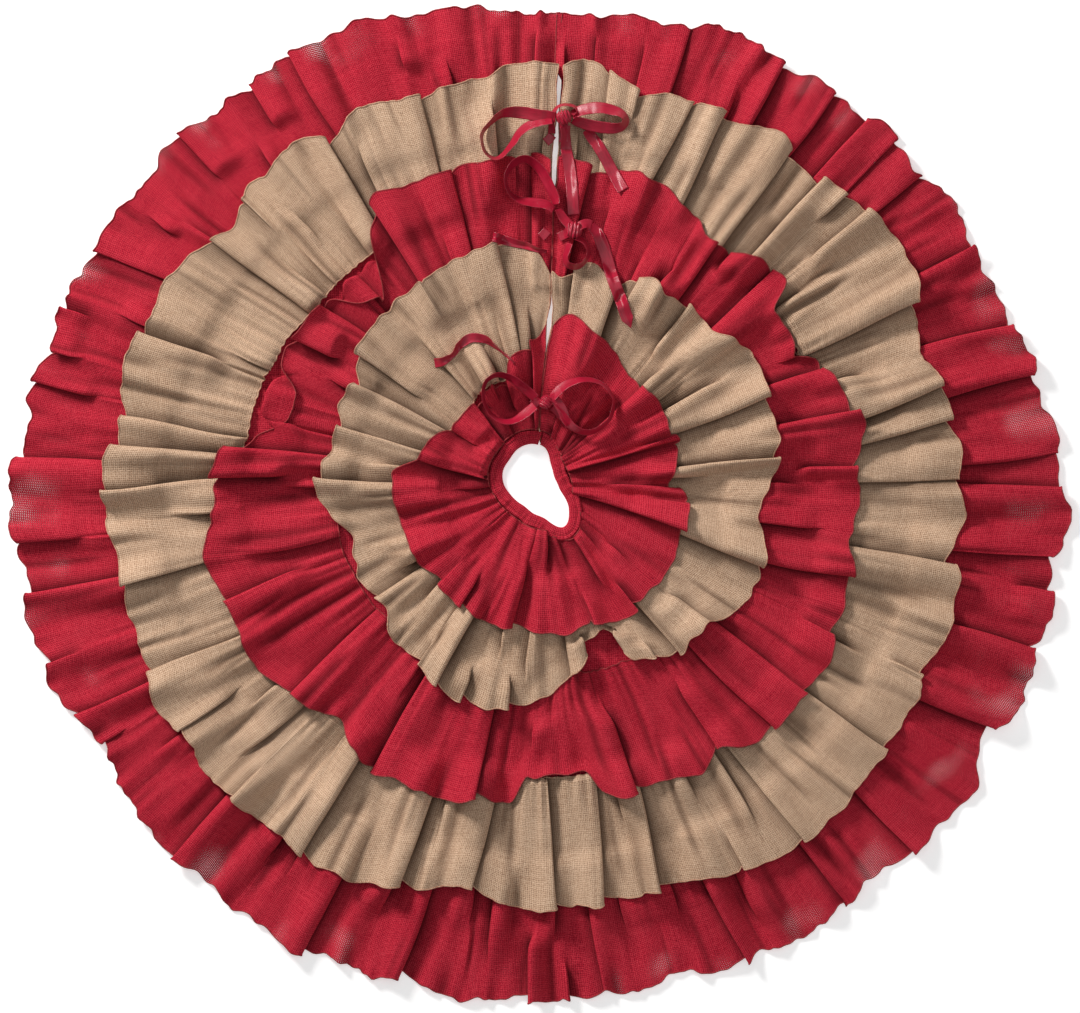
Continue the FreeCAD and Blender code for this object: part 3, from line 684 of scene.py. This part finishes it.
    # scalloped hem between folds that reach it
    hemf = [f[0] for f in folds if f[3] == 2]
    hm = np.array([a_start] + hemf + [a_end])
    pi_ = np.clip(np.searchsorted(hm, t, side="right") - 1, 0, len(hm) - 2)
    pw = (hm[pi_ + 1] - hm[pi_])
    pu = (t - hm[pi_]) / pw
    sc = np.clip(pw / deg_mm * 0.075, 0.5, 5.5) * (4 * pu * (1 - pu) - 0.55)
    dR += sc[:, None] * smooth((V_ - 0.3) / 0.7)
    hid = 0.45 + 0.55 * smooth(V_ / np.maximum(vin, 0.03))
    Z *= hid
    # puckers that start at the gathering stitches and die away outwards
    rs = np.random.default_rng(1000 + k)
    L_head = math.radians(360.0) * HEAD[k]
    u_head = (t - a_start) / 360.0 * L_head
    x = 0.0
    cusp = [0.0]
    while x < L_head:
        x += rs.uniform(6.5, 13.5)
        cusp.append(x)
    cusp = np.array(cusp)
    ph = np.interp(u_head, cusp, np.arange(len(cusp)))
    cell = np.floor(ph).astype(int)
    fr = ph - cell
    amp_c = rs.uniform(0.55, 1.25, len(cusp) + 2)
    len_c = rs.uniform(0.16, 0.42, len(cusp) + 2) * rs.choice([0.7, 1.0, 1.9], len(cusp) + 2, p=[0.4, 0.42, 0.18])
    round_top = np.sqrt(np.clip(np.sin(np.pi * fr), 0, 1) + 1e-6)
    # each valley keeps its own length
    near = np.where(fr < 0.5, cell, cell + 1)
    vlen = len_c[near][:, None]
    vamp = amp_c[near][:, None]
    v_st = 9.0 / CUT_W[k]
    grow = np.where(V_ < v_st, 0.45 + 0.35 * np.abs(V_ - v_st) / v_st, 0.45 + 0.55 * smooth((V_ - v_st) / 0.06))
    dying = np.exp(-(np.clip(V_ - v_st, 0, 1) / vlen) ** 1.6)
    pucker = (round_top[:, None] - 0.72) * 5.6 * vamp * grow * dying
    open_head = bare(k - 1, A) if k > 1 else 0.0 * V_
    pucker = pucker * (1.0 + 0.75 * open_head)
    R = R + open_head * (1 - smooth(V_ / 0.05)) * 1.6 * wave1(T * r_ref * math.pi / 180, 15.0, 41 * k, 1)
    Z += pucker
    # painted shade in the pucker valleys near the heading
    painted_shade = np.maximum(painted_shade, (np.clip(0.55 - round_top, 0, 1) * 1.3)[:, None] * np.clip(vamp, 0, 1) * dying)
    # broad swells and small cloth bumps
    xx, yy = R * np.cos(np.radians(A)), R * np.sin(np.radians(A))
    swell = {5: 6.0, 4: 5.2, 3: 5.2, 2: 5.2, 1: 4.0}[k] * (1.0 - 0.4 * np.exp(-((((A - SLIT + 180) % 360) - 180) / 13.0) ** 2))
    Z += swell * (0.35 + 0.65 * V_) * (0.55 + 0.7 * wave1(S + 26.0 * (V_ - 0.5), 82.0, 5 * k, 2))
    along_v = V_ * CUT_W[k]
    Z += 2.2 * wave2(S * 1.0, along_v * 0.25 + 300.0, 48.0, 7 * k) + 0.45 * wave2(S, along_v * 0.22, 19.0, 8 * k + 3)
    # the free edge lifts and dips
    lip = smooth((V_ - 0.80) / 0.20)
    Z += lip * {5: 2.4, 4: 1.6, 3: 1.8, 2: 2.2, 1: 1.8}[k] * wave1(S, 44.0, 31 * k, 2)
    Z = np.maximum(Z, -1.4 + 0.0 * Z) + turn
    Z = Z + 1.5
    # apply the sideways shifts and the stepped hem
    A2 = A + dS / (R * math.pi / 180.0)
    R2 = R + dR
    # special places seen on the real one
    if k == 2:
        w = np.exp(-((A2 % 360 - 291.0) / 7.5) ** 2) * smooth((V_ - 0.35) / 0.65)
        Z += 9.0 * w * (0.75 + 0.5 * np.sin(np.radians(A2) * 46.0))
    if k == 1:
        w = np.exp(-(((A2 + 180) % 360 - 180 + 2.0) / 5.5) ** 2) * smooth((V_ - 0.55) / 0.45)
        Z += 8.0 * w * (0.8 + 0.5 * np.sin(np.radians(A2) * 60.0))
    # the two slit edges
    azr, gap = slit_az(R2)
    near0 = (T - a_start) / deg_mm
    near1 = (a_end - T) / deg_mm
    w0 = 1 - smooth(near0 / 40.0)
    w1 = 1 - smooth(near1 / 40.0)
    ga = (gap + 0.6 * wave1(R2, 38.0, 77 + k, 2) * (gap > 1.2)) / (R2 * math.pi / 180.0)
    A2 = A2 + w0 * (azr - az0 + ga) + w1 * (azr - az0 - ga)
    if k == 5:
        lap = smooth((R2 - 462.0) / 14.0)
        A2 = A2 + w1 * lap * 0.85
        Z = Z + lap * (2.6 * w1 - 0.8 * w0)
    # lay it on what is already there
    under = blur(spread(height_map, 3, 3), 4, 3, 2)
    low = map_at(under, A2, R2)
    raw = map_at(spread(height_map, 2, 2), A2, R2)
    base = np.maximum(low, raw * 0.0 + 1.2)
    on_floor = R2 > 519.0
    Z = Z + base - np.where(on_floor & (k == 5), 0.9, 0.0)
    Z = np.maximum(Z, raw + 0.7)
    if k == 5:
        # over the base's rim the hem drops to the floor
        drop = smooth((R2 - 505.0) / 40.0)
        Z = Z * (1 - 0.12 * drop)
        Z = np.maximum(Z, 0.9)
    P = np.stack([CX + R2 * np.cos(np.radians(A2)), CY + R2 * np.sin(np.radians(A2)), Z], -1)
    # a light smoothing along the strip and across it rounds the fold edges
    Q = P.copy()
    Q[1:-1] = P[1:-1] * 0.5 + (P[:-2] + P[2:]) * 0.25
    Q[:, 1:-1] = Q[:, 1:-1] * 0.6 + (Q[:, :-2] + Q[:, 2:]) * 0.2
    P = Q
    P[..., 2] = np.maximum(P[..., 2], map_at(spread(height_map, 2, 2), *polar(P)) + 0.5)
    map_add(P)
    # cloth coordinates: length along the strip, distance from the heading
    mid = m_rows // 2
    seg = np.linalg.norm(np.diff(P, axis=0), axis=2)
    ul = np.concatenate([[0], np.cumsum(seg[:, int(m_rows * 0.7)])])
    UV = np.stack([np.repeat(ul[:, None], m_rows, 1), V_ * CUT_W[k]], -1)
    sheer = np.zeros_like(V_)
    if k == 5:
        aa, rr = polar(P)
        # past the rim of the base disc, and only where the cloth is one layer
        rim = np.hypot(P[..., 0], P[..., 1] - 8.0)
        dist = np.abs(t[:, None] - fp[None, :]).min(1) / deg_mm
        sheer = smooth((rim - 529.0) / 28.0) * smooth((dist - 4.0) / 34.0)[:, None]
    return dict(P=P, UV=UV, t=t, i270=i270, sheer=sheer, painted_shade=np.clip(painted_shade, 0, 1), v_st=v_st, rows=m_rows)


def bend(obj):
    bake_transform(obj)


def serge(path, r, name, mat, extra=()):
    parts = [tube(p, r, 6, 0.8) for p in [path] + list(extra)]
    return join_meshes(name, parts, mat)


tiers = {}
TIER_MAT = {5: mat_red_sheer, 4: mat_tan, 3: mat_red, 2: mat_tan, 1: mat_red}
SERGE_MAT = {5: mat_thread_red, 4: mat_thread_pink, 3: mat_thread_red, 2: mat_thread_pink, 1: mat_thread_red}
for k in (5, 4, 3, 2, 1):
    tr = build_tier(k)
    tiers[k] = tr
    P, UV, i0 = tr["P"], tr["UV"], tr["i270"]
    for side, sl in (("left", slice(0, i0 + 1)), ("right", slice(i0, None))):
        Ph, Uh, Sh = P[sl], UV[sl], tr["sheer"][sl]
        o = grid_object("ruffle_%d_%s" % (k, side), Ph, Uh, TIER_MAT[k], {"sheer": Sh, "painted_shade": tr["painted_shade"][sl]})
        bend(o)
        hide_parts("ruffle_%d_%s_flap" % (k, side), "ruffle_%d_main" % k)
        # serged edges: the hem, the heading and the slit end
        end = Ph[0] if side == "left" else Ph[-1]
        so = serge(Ph[:, -1], 0.75, "ruffle_%d_%s_serging" % (k, side), SERGE_MAT[k], [end, Ph[:, 0]])
        bend(so)
        # two rows of gathering stitches through the heading
        rows = []
        js = [max(1, int(round(x / CUT_W[k] * (tr["rows"] - 1)))) for x in (7.5, 11.5)]
        for jj in js:
            line = Ph[:, jj] + np.array([0, 0, 0.35])
            seg = np.linalg.norm(np.diff(line, axis=0), axis=1)
            cs = np.concatenate([[0], np.cumsum(seg)])
            s0 = 1.0
            while s0 + 2.6 < cs[-1]:
                q = np.array([[np.interp(s0 + dd, cs, line[:, c]) for c in range(3)] for dd in (0.0, 1.3, 2.6)])
                q[0, 2] -= 0.7
                q[2, 2] -= 0.7
                rows.append(tube(q, 0.33, 4))
                s0 += 4.4
        st = join_meshes("ruffle_%d_%s_gathering" % (k, side), rows, mat_thread_tan if k in (2, 4) else mat_thread_red)
        bend(st)
        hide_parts("gather_threads_%s_flap" % side, "gather_threads_main")

# ---------------------------------------------------------------------------
# base disc, slit edging, neck binding
# ---------------------------------------------------------------------------
BASE_R = 524.0


def base_sheet(side):
    az0 = SLIT
    if side == "left":
        t = np.linspace(az0, 270.0, 260)
    else:
        t = np.linspace(270.0, az0 + 360.0, 260)
    v = np.linspace(0, 1, 90)
    T, V_ = np.meshgrid(t, v, indexing="ij")
    # distance from the neck centre to the rim of the disc (its centre is off the neck's)
    dx, dy = 0.0 - CX, 8.0 - CY
    c, s = np.cos(np.radians(T)), np.sin(np.radians(T))
    b = dx * c + dy * s
    rim = b + np.sqrt(np.maximum(b * b - (dx * dx + dy * dy) + BASE_R ** 2, 1))
    r0 = open_r(T) + 2.5
    R = r0 + (rim - r0) * V_
    azr, gap = slit_az(R)
    near = (T - az0) if side == "left" else (az0 + 360.0 - T)
    w = 1 - smooth(near / 8.0)
    ga = np.maximum(gap, 1.0) / (R * math.pi / 180.0)
    A = T + w * (azr - az0 + (ga if side == "left" else -ga))
    P = np.stack([CX + R * np.cos(np.radians(A)), CY + R * np.sin(np.radians(A)), 0 * R], -1)
    P[..., 2] = 0.35 + 0.22 * (1 + wave2(P[..., 0], P[..., 1], 60.0, 3)) * 0.5
    return P


for side in ("left", "right"):
    P = base_sheet(side)
    o = grid_object("base_%s" % side, P, P[..., :2].copy(), mat_red)
    bend(o)
    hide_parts("base_cloth_%s_flap" % side, "base_cloth_main")
    edge = P[0] if side == "left" else P[-1]
    so = join_meshes("slit_serging_%s" % side, [tube(edge + np.array([0, 0, 0.5]), 0.9, 6, 0.7)], mat_thread_orange)
    bend(so)
    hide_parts("slit_edging_%s" % side)
    rimt = join_meshes("base_rim_serging_%s" % side, [tube(P[:, -1] + np.array([0, 0, 0.25]), 0.6, 6, 0.7)], mat_thread_red)
    bend(rimt)


def binding_sheet(side):
    """a folded tape round the opening: a flattened loop section swept along the outline"""
    az0 = SLIT
    t = np.linspace(az0, 270.0, 220) if side == "left" else np.linspace(270.0, az0 + 360.0, 220)
    # outline and outward normal
    d = 0.5
    r = open_r(t)
    x, y = r * np.cos(np.radians(t)), r * np.sin(np.radians(t))
    rp, rn = open_r(t + d), open_r(t - d)
    tx = rp * np.cos(np.radians(t + d)) - rn * np.cos(np.radians(t - d))
    ty = rp * np.sin(np.radians(t + d)) - rn * np.sin(np.radians(t - d))
    m_ = np.hypot(tx, ty)
    nx, ny = ty / m_, -tx / m_
    # section: from the under edge, round the lip, up and back over the cloth
    sec = np.array([(5.0, 0.9), (2.5, 0.7), (0.6, 1.2), (-0.2, 2.4), (0.2, 4.0), (1.6, 5.1), (4.0, 5.7), (7.0, 5.9), (9.4, 5.5), (9.9, 5.0), (10.4, 5.6), (12.6, 6.0), (14.2, 5.4), (14.9, 4.4), (14.6, 3.2)])
    tt = np.linspace(0, len(sec) - 1, 44)
    sec = np.stack([np.interp(tt, np.arange(len(sec)), sec[:, i]) for i in range(2)], -1)
    s_len = np.concatenate([[0], np.cumsum(np.hypot(np.diff(x), np.diff(y)))])
    puck = wave1(s_len, 13.0, 55, 2)
    wob = wave1(s_len, 31.0, 56, 2)
    P = np.zeros((len(t), len(sec), 3))
    wd = 1.0 + 0.05 * wob
    P[..., 0] = CX + x[:, None] + nx[:, None] * sec[None, :, 0] * wd[:, None]
    P[..., 1] = CY + y[:, None] + ny[:, None] * sec[None, :, 0] * wd[:, None]
    lift = smooth((sec[:, 0] - 1.0) / 6.0)
    P[..., 2] = sec[None, :, 1] * (1 + 0.05 * wob[:, None]) + puck[:, None] * 0.45 * lift[None, :]
    # stop at the slit
    aa, rr = polar(P)
    azr, gap = slit_az(rr)
    near = (t - az0) if side == "left" else (az0 + 360.0 - t)
    w = (1 - smooth(near / 14.0))[:, None]
    ga = (gap + 0.5) / (np.maximum(rr, 20) * math.pi / 180.0)
    sh = w * (azr - az0 + (ga if side == "left" else -ga))
    c, s = np.cos(np.radians(sh)), np.sin(np.radians(sh))
    px, py = P[..., 0] - CX, P[..., 1] - CY
    P[..., 0], P[..., 1] = CX + px * c - py * s, CY + px * s + py * c
    sl = np.concatenate([[0], np.cumsum(np.hypot(*np.diff(sec, axis=0).T))])
    UV = np.stack(np.broadcast_arrays(s_len[:, None] * 1.25, sl[None, :]), -1)
    return P, UV


for side in ("left", "right"):
    P, UV = binding_sheet(side)
    o = grid_object("neck_binding_%s" % side, P, UV, mat_red)
    bend(o)
    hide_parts("neck_binding_%s_flap" % side, "neck_binding_main")
    # topstitching along the tape's outer edge
    line = P[:, 27] + np.array([0, 0, 0.35])
    seg = np.linalg.norm(np.diff(line, axis=0), axis=1)
    cs = np.concatenate([[0], np.cumsum(seg)])
    rows, s0 = [], 1.0
    while s0 + 2.2 < cs[-1]:
        q = np.array([[np.interp(s0 + dd, cs, line[:, c]) for c in range(3)] for dd in (0.0, 1.1, 2.2)])
        q[0, 2] -= 0.5
        q[2, 2] -= 0.5
        rows.append(tube(q, 0.3, 4))
        s0 += 3.4
    st = join_meshes("neck_stitching_%s" % side, rows, mat_thread_red)
    bend(st)


# ---------------------------------------------------------------------------
# satin ribbons
# ---------------------------------------------------------------------------
RW = 14.5
top_map = blur(spread(height_map, 2, 2), 2, 1, 1)


def ground(x, y):
    a = np.degrees(np.arctan2(y - CY, x - CX)) % 360.0
    return map_at(top_map, a, np.hypot(x - CX, y - CY))


bow_map = blur(spread(height_map, 8, 5), 10, 6, 2)


def bow_lift(x, y):
    """how much higher or lower than its drawn place a bow sits on the cloth"""
    a = np.degrees(np.arctan2(y - CY, x - CX)) % 360.0
    return np.clip(map_at(bow_map, a, np.hypot(x - CX, y - CY)) + 0.6 - 24.4, -9.0, 13.0)


def spline(pts, step=1.2):
    """Catmull-Rom through control rows (x, y, z, tilt, width); evenly spaced"""
    p = np.asarray(pts, float)
    p = np.vstack([2 * p[0] - p[1], p, 2 * p[-1] - p[-2]])
    out = []
    for i in range(1, len(p) - 2):
        for f in np.linspace(0, 1, 24, endpoint=False):
            a, b, c, d = p[i - 1], p[i], p[i + 1], p[i + 2]
            out.append(b + 0.5 * f * (c - a + f * (2 * a - 5 * b + 4 * c - d + f * (3 * (b - c) + d - a))))
    out.append(p[-2])
    out = np.array(out)
    L = np.concatenate([[0], np.cumsum(np.linalg.norm(np.diff(out[:, :3], axis=0), axis=1))])
    n = max(8, int(L[-1] / step))
    s = np.linspace(0, L[-1], n)
    return np.stack([np.interp(s, L, out[:, i]) for i in range(out.shape[1])], -1), L[-1]


def ribbon(name, pts, body, nodes=(), width=RW, lie=False, crown=0.5, seed=1, pointed=False, clear=0.6, drape=1.0):
    """a satin ribbon along control points (x, y, z mm, tilt degrees): tilt 0 stands on edge, 90 lies flat, face up.
    With lie=True z is the height above what lies below."""
    rows = [tuple(p) + ((1.0,) if len(p) == 4 else ()) for p in pts]
    c, L = spline(rows)
    xyz = c[:, :3].copy()
    if lie:
        xyz[:, 2] += np.maximum(ground(xyz[:, 0], xyz[:, 1]), 2.0)
    else:
        xyz[:, 2] += bow_lift(xyz[:, 0], xyz[:, 1])
    T = np.gradient(xyz, axis=0)
    T /= np.linalg.norm(T, axis=1, keepdims=True)
    up = np.array([0.0, 0.0, 1.0])
    side = np.cross(T, up)
    side /= np.linalg.norm(side, axis=1, keepdims=True) + 1e-9
    up2 = np.cross(side, T)
    tilt = np.radians(c[:, 3] if lie else np.where(c[:, 3] < 30.0, 17.0 + c[:, 3] * 13.0 / 30.0, c[:, 3]))[:, None]
    W = np.cos(tilt) * up2 + np.sin(tilt) * side
    N = np.cross(T, W)
    m = 13
    q = np.linspace(-0.5, 0.5, m)
    s = np.linspace(0, L, len(c))
    r = np.random.default_rng(seed)
    ripple = 0.5 * wave1(s, 26.0, seed, 2)
    cup = crown * (1 + 0.6 * wave1(s, 38.0, seed + 3, 1))
    wid = (width * c[:, 4])[:, None] * np.ones((1, m))
    qq = np.repeat(q[None, :], len(c), 0)
    if pointed:
        # the end is cut to a point
        back = np.clip((L - s) / (width * 0.8), 0, 1)[:, None]
        wid = wid * np.maximum(back, 0.03)
    P = xyz[:, None, :] + W[:, None, :] * (qq * wid)[..., None]
    P = P + N[:, None, :] * ((ripple[:, None] * 0.6 * (1 + qq) + cup[:, None] * (1 - (2 * qq) ** 2) * 0.9)[..., None])
    if lie:
        g = ground(P[..., 0], P[..., 1])
        if drape < 1.0:
            g = g * drape + g.max() * (1 - drape)
        P[..., 2] = np.maximum(P[..., 2], g + clear)
    UV = np.stack([np.repeat(s[:, None], m, 1), (qq + 0.5) * 14.6], -1)
    o = grid_object(name + "_ribbon", P, UV, mat_satin)
    so = o.modifiers.new("cloth", "SOLIDIFY")
    so.thickness = 0.00035
    so.offset = 0
    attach(o, body)
    if nodes:
        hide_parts(*nodes)
    return o, P


def knot(name, c, size, turn, body, node, seed):
    """a tight ribbon knot: a pinched barrel with creased wraps round it"""
    nu, nv = 56, 40
    c = (c[0], c[1], c[2] + float(bow_lift(np.array(c[0]), np.array(c[1]))))
    u = np.linspace(0, 2 * np.pi, nu, endpoint=False)
    v = np.linspace(-1, 1, nv)
    Ug, Vg = np.meshgrid(u, v, indexing="ij")
    prof = (1 - np.abs(Vg) ** 2.6) ** 0.42
    crease = 0.10 * np.sin(5 * Vg * np.pi + 1.3 * np.sin(Ug + seed)) + 0.06 * np.sin(11 * Vg + 2 * Ug + seed)
    rad_ = prof * (1 + crease) * (1 + 0.10 * np.sin(2 * Ug + seed) + 0.05 * np.sin(3 * Ug))
    x = Vg * size[0] / 2 * (1 + 0.05 * np.sin(Ug * 2))
    y = rad_ * np.cos(Ug) * size[1] / 2
    z = rad_ * np.sin(Ug) * size[2] / 2
    a = math.radians(turn)
    P = np.stack([c[0] + x * math.cos(a) - y * math.sin(a), c[1] + x * math.sin(a) + y * math.cos(a), c[2] + z], -1)
    UV = np.stack([Ug * size[1] / 2, (Vg + 1) * size[0] / 2], -1)
    o = grid_object(name + "_wraps", P, UV, mat_satin, close=True)
    sub = o.modifiers.new("s", "SUBSURF")
    sub.levels = 1
    sub.render_levels = 1
    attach(o, body)
    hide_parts(node)
    return o


ZR = 25.5


def px(x, y):
    return ((x - 536.5) * 1.1477, (505.0 - y) * 1.1477)


# --- outer bow ---
g1 = float(ground(31.0, 443.0))
ribbon("bow_outer_left_loop", [
    (22, 444, 33, 55), (4, 446, 34, 70), (-18, 449.5, 33, 68), (-36, 449, 33, 40), (-50, 440, 32, 5), (-62, 425, 32, -8),
    (-60, 407, 32, -6), (-49, 396.5, 32, 4), (-38, 401, 32, 14), (-27, 415, 33, 30), (-16, 430, 34, 42), (0, 438, 35, 48), (18, 441, 35, 42)],
    "left_flap", ["bow_outer_left_loop"], seed=11)
ribbon("bow_outer_right_loop", [
    (40, 447, 34, 45), (52, 452, 34, 62), (68, 455, 34, 66), (86, 452.5, 33, 58), (98, 447.5, 33, 40), (102.5, 440, 33, 32),
    (97, 433, 32.5, 40), (84, 431.5, 32, 58), (66, 434, 32.5, 62), (50, 438, 34, 50), (42, 441, 36, 35)],
    "right_flap", ["bow_outer_right_loop"], seed=12)
knot("bow_outer_knot", (31.5, 443.5, 36.0), (17.5, 15.5, 14.5), 20, "right_flap", "bow_outer_knot", 0.7)
ribbon("bow_outer_strap", [(17.5, 426, 26.5, 60), (17.5, 440, 29, 40), (21.5, 453, 32, 20), (31, 458.5, 34, 10), (43, 456.5, 34, 14), (48, 449, 34, 20), (44, 443, 35, 40)],
       "right_flap", width=10.0, seed=13)
ribbon("bow_outer_tail_a", [(33, 434, 7, 60), (33.5, 424, 4.5, 50), (34, 410, 2.2, 70), (37, 392, 1.4, 84), (40, 370, 1.2, 92), (41.5, 348, 1.2, 94), (42.5, 333, 1.4, 90)],
       "outer_tail_a", ["bow_outer_tail_a"], lie=True, seed=14, width=13.5)
ribbon("bow_outer_tail_b", [(57, 431, 6, 50), (62, 424, 4, 70), (70, 413, 2.6, 86), (78, 400, 1.6, 96), (85, 387, 1.3, 90), (92, 374, 1.2, 86), (99, 361, 1.2, 92)],
       "outer_tail_b", ["bow_outer_tail_b"], lie=True, seed=15, width=13.5)
# --- middle bow ---
ribbon("bow_middle_left_loop", [
    (22.5, 344, 31, 30), (20, 354, 31.5, 48), (12, 371, 32, 52), (2, 387, 32, 44), (-12, 396, 32, 34), (-27, 390, 31.5, 30),
    (-35, 375, 31.5, -6), (-32, 359, 31.5, 8), (-20, 350, 32, 32), (-4, 346.5, 33, 50), (10, 345, 33, 48), (20, 338, 32, 34)],
    "left_flap", ["bow_middle_left_loop"], seed=21)
ribbon("bow_middle_right_loop", [
    (45, 307, 31, 30), (52, 304, 31, 20), (57.5, 297, 31, 6), (59.5, 287, 31, -5), (55, 278.5, 31, 4), (46, 273, 31, 18), (36, 275, 31, 24), (33, 284, 31, 20), (38, 300, 31, 30)],
    "right_flap", ["bow_middle_right_loop"], seed=22)
knot("bow_middle_knot", (42.5, 315.0, 33.5), (19.5, 17.0, 14.5), -14, "right_flap", "bow_middle_knot", 2.1)
ribbon("bow_middle_strap", [(25.0, 339, 31.0, 40), (29, 332, 32, 55), (33, 326, 33, 60), (39, 320, 35, 60)], "right_flap", width=12.0, seed=23)
ribbon("bow_middle_strand", [(46, 317, 35, 50), (52, 321, 33.5, 60), (58, 322.5, 31, 66), (63.5, 320.5, 28.5, 70)], "right_flap", width=12.0, seed=26)
ribbon("bow_middle_left_tail", [(12, 291, 2.5, 18), (0, 293, 2.2, 30), (-14, 298, 2.0, 44), (-30, 302, 1.8, 60), (-50, 307.5, 1.5, 80)],
       "middle_left_tail", ["bow_middle_left_tail"], lie=True, seed=24, width=11.5)
ribbon("bow_middle_right_tail", [(63, 321, 6, 50), (70, 312, 4.0, 66), (76, 298, 2.6, 80), (81.5, 281, 1.6, 88), (87, 261, 1.3, 92), (95, 240, 1.2, 90), (102, 220, 1.2, 88), (108.5, 203, 1.3, 90)],
       "middle_right_tail", ["bow_middle_right_tail"], lie=True, seed=25, pointed=True, width=14.0)
# --- neck bow ---
ribbon("bow_neck_left_loop", [
    (-1, 122, 31, 40), (-12, 132, 32, 46), (-26, 143, 32, 36), (-42, 149, 32, 14), (-56, 143, 31, -2), (-61, 128, 31, -6),
    (-57, 111, 31, 2), (-44, 98, 31, 12), (-28, 96, 31.5, 28), (-13, 105, 32, 44), (-2, 114, 32, 44)],
    "left_flap", ["bow_neck_left_loop"], seed=31)
ribbon("bow_neck_right_loop", [
    (18, 123, 31, 40), (28, 134, 32, 46), (44, 142, 32, 34), (62, 143.5, 32, 14), (79, 136, 31, 0), (88, 121, 31, -6),
    (86, 103, 31, -2), (74, 89, 31, 8), (58, 83, 31, 20), (42, 89, 31.5, 36), (28, 104, 32, 46), (19, 113, 32, 44)],
    "right_flap", ["bow_neck_right_loop"], seed=32)
ribbon("bow_neck_inner_fold", [(16, 126, 33, 50), (22, 120, 34, 66), (29, 110, 33, 74), (34, 98, 31, 60), (37, 92, 29.5, 40)], "right_flap", width=12.0, seed=33)
knot("bow_neck_knot", (10.5, 118.0, 32.5), (16.0, 15.0, 14.0), 60, "right_flap", "bow_neck_knot", 4.0)
ribbon("bow_neck_left_tail", [(-25, 162, 3.0, 20), (-38, 174, 3.4, 10), (-50, 184, 4.0, 24), (-62, 191, 3.8, 60), (-76, 191.5, 2.8, 80), (-88, 183, 2.2, 50), (-96, 172, 2.0, 30), (-106, 165, 1.8, 56), (-117, 163, 1.5, 80)],
       "neck_left_tail", ["bow_neck_left_tail"], lie=True, seed=34, width=11.0)


# ribbon ends sewn down beside the slit
KNOTS = {420.0: (31.5, 443.5), 311.0: (42.5, 315.0), 118.0: (10.5, 118.0)}


def anchor_piece(side, y):
    """a ribbon end sewn to the cloth beside the slit, running up towards its bow"""
    d = np.array([math.cos(math.radians(SLIT)), math.sin(math.radians(SLIT))])
    n_ = np.array([d[1], -d[0]])
    c = np.array([CX, CY]) + d * (y - CY)
    body = side + "_flap"
    name = "ribbon_anchor_%s_%d" % (side, int(y))
    if side == "left":
        a, b, e = c - n_ * 12.0 - d * 4.0, c - n_ * 8.0, c - n_ * 4.6 + d * 5.0
        pts = [(a[0], a[1], 0.8, 86), (b[0], b[1], 1.2, 84), (e[0], e[1], 1.8, 80)]
    else:
        kx = np.array(KNOTS[y])
        a = c + n_ * 8.5 - d * 3.0
        pts = [(a[0], a[1], 0.8, 86), (*(a * 0.6 + kx * 0.4), 3.2, 76), (*(a * 0.15 + kx * 0.85), 9.0, 60)]
    return ribbon(name, pts, body, ["ribbon_anchors_" + side], lie=True, seed=int(y) + len(side), width=10.5, crown=0.1, drape=0.3)


for y in (420.0, 311.0, 118.0):
    for side in ("left", "right"):
        anchor_piece(side, y)

scn.view_settings.view_transform = "Standard"
scn.view_settings.look = "None"
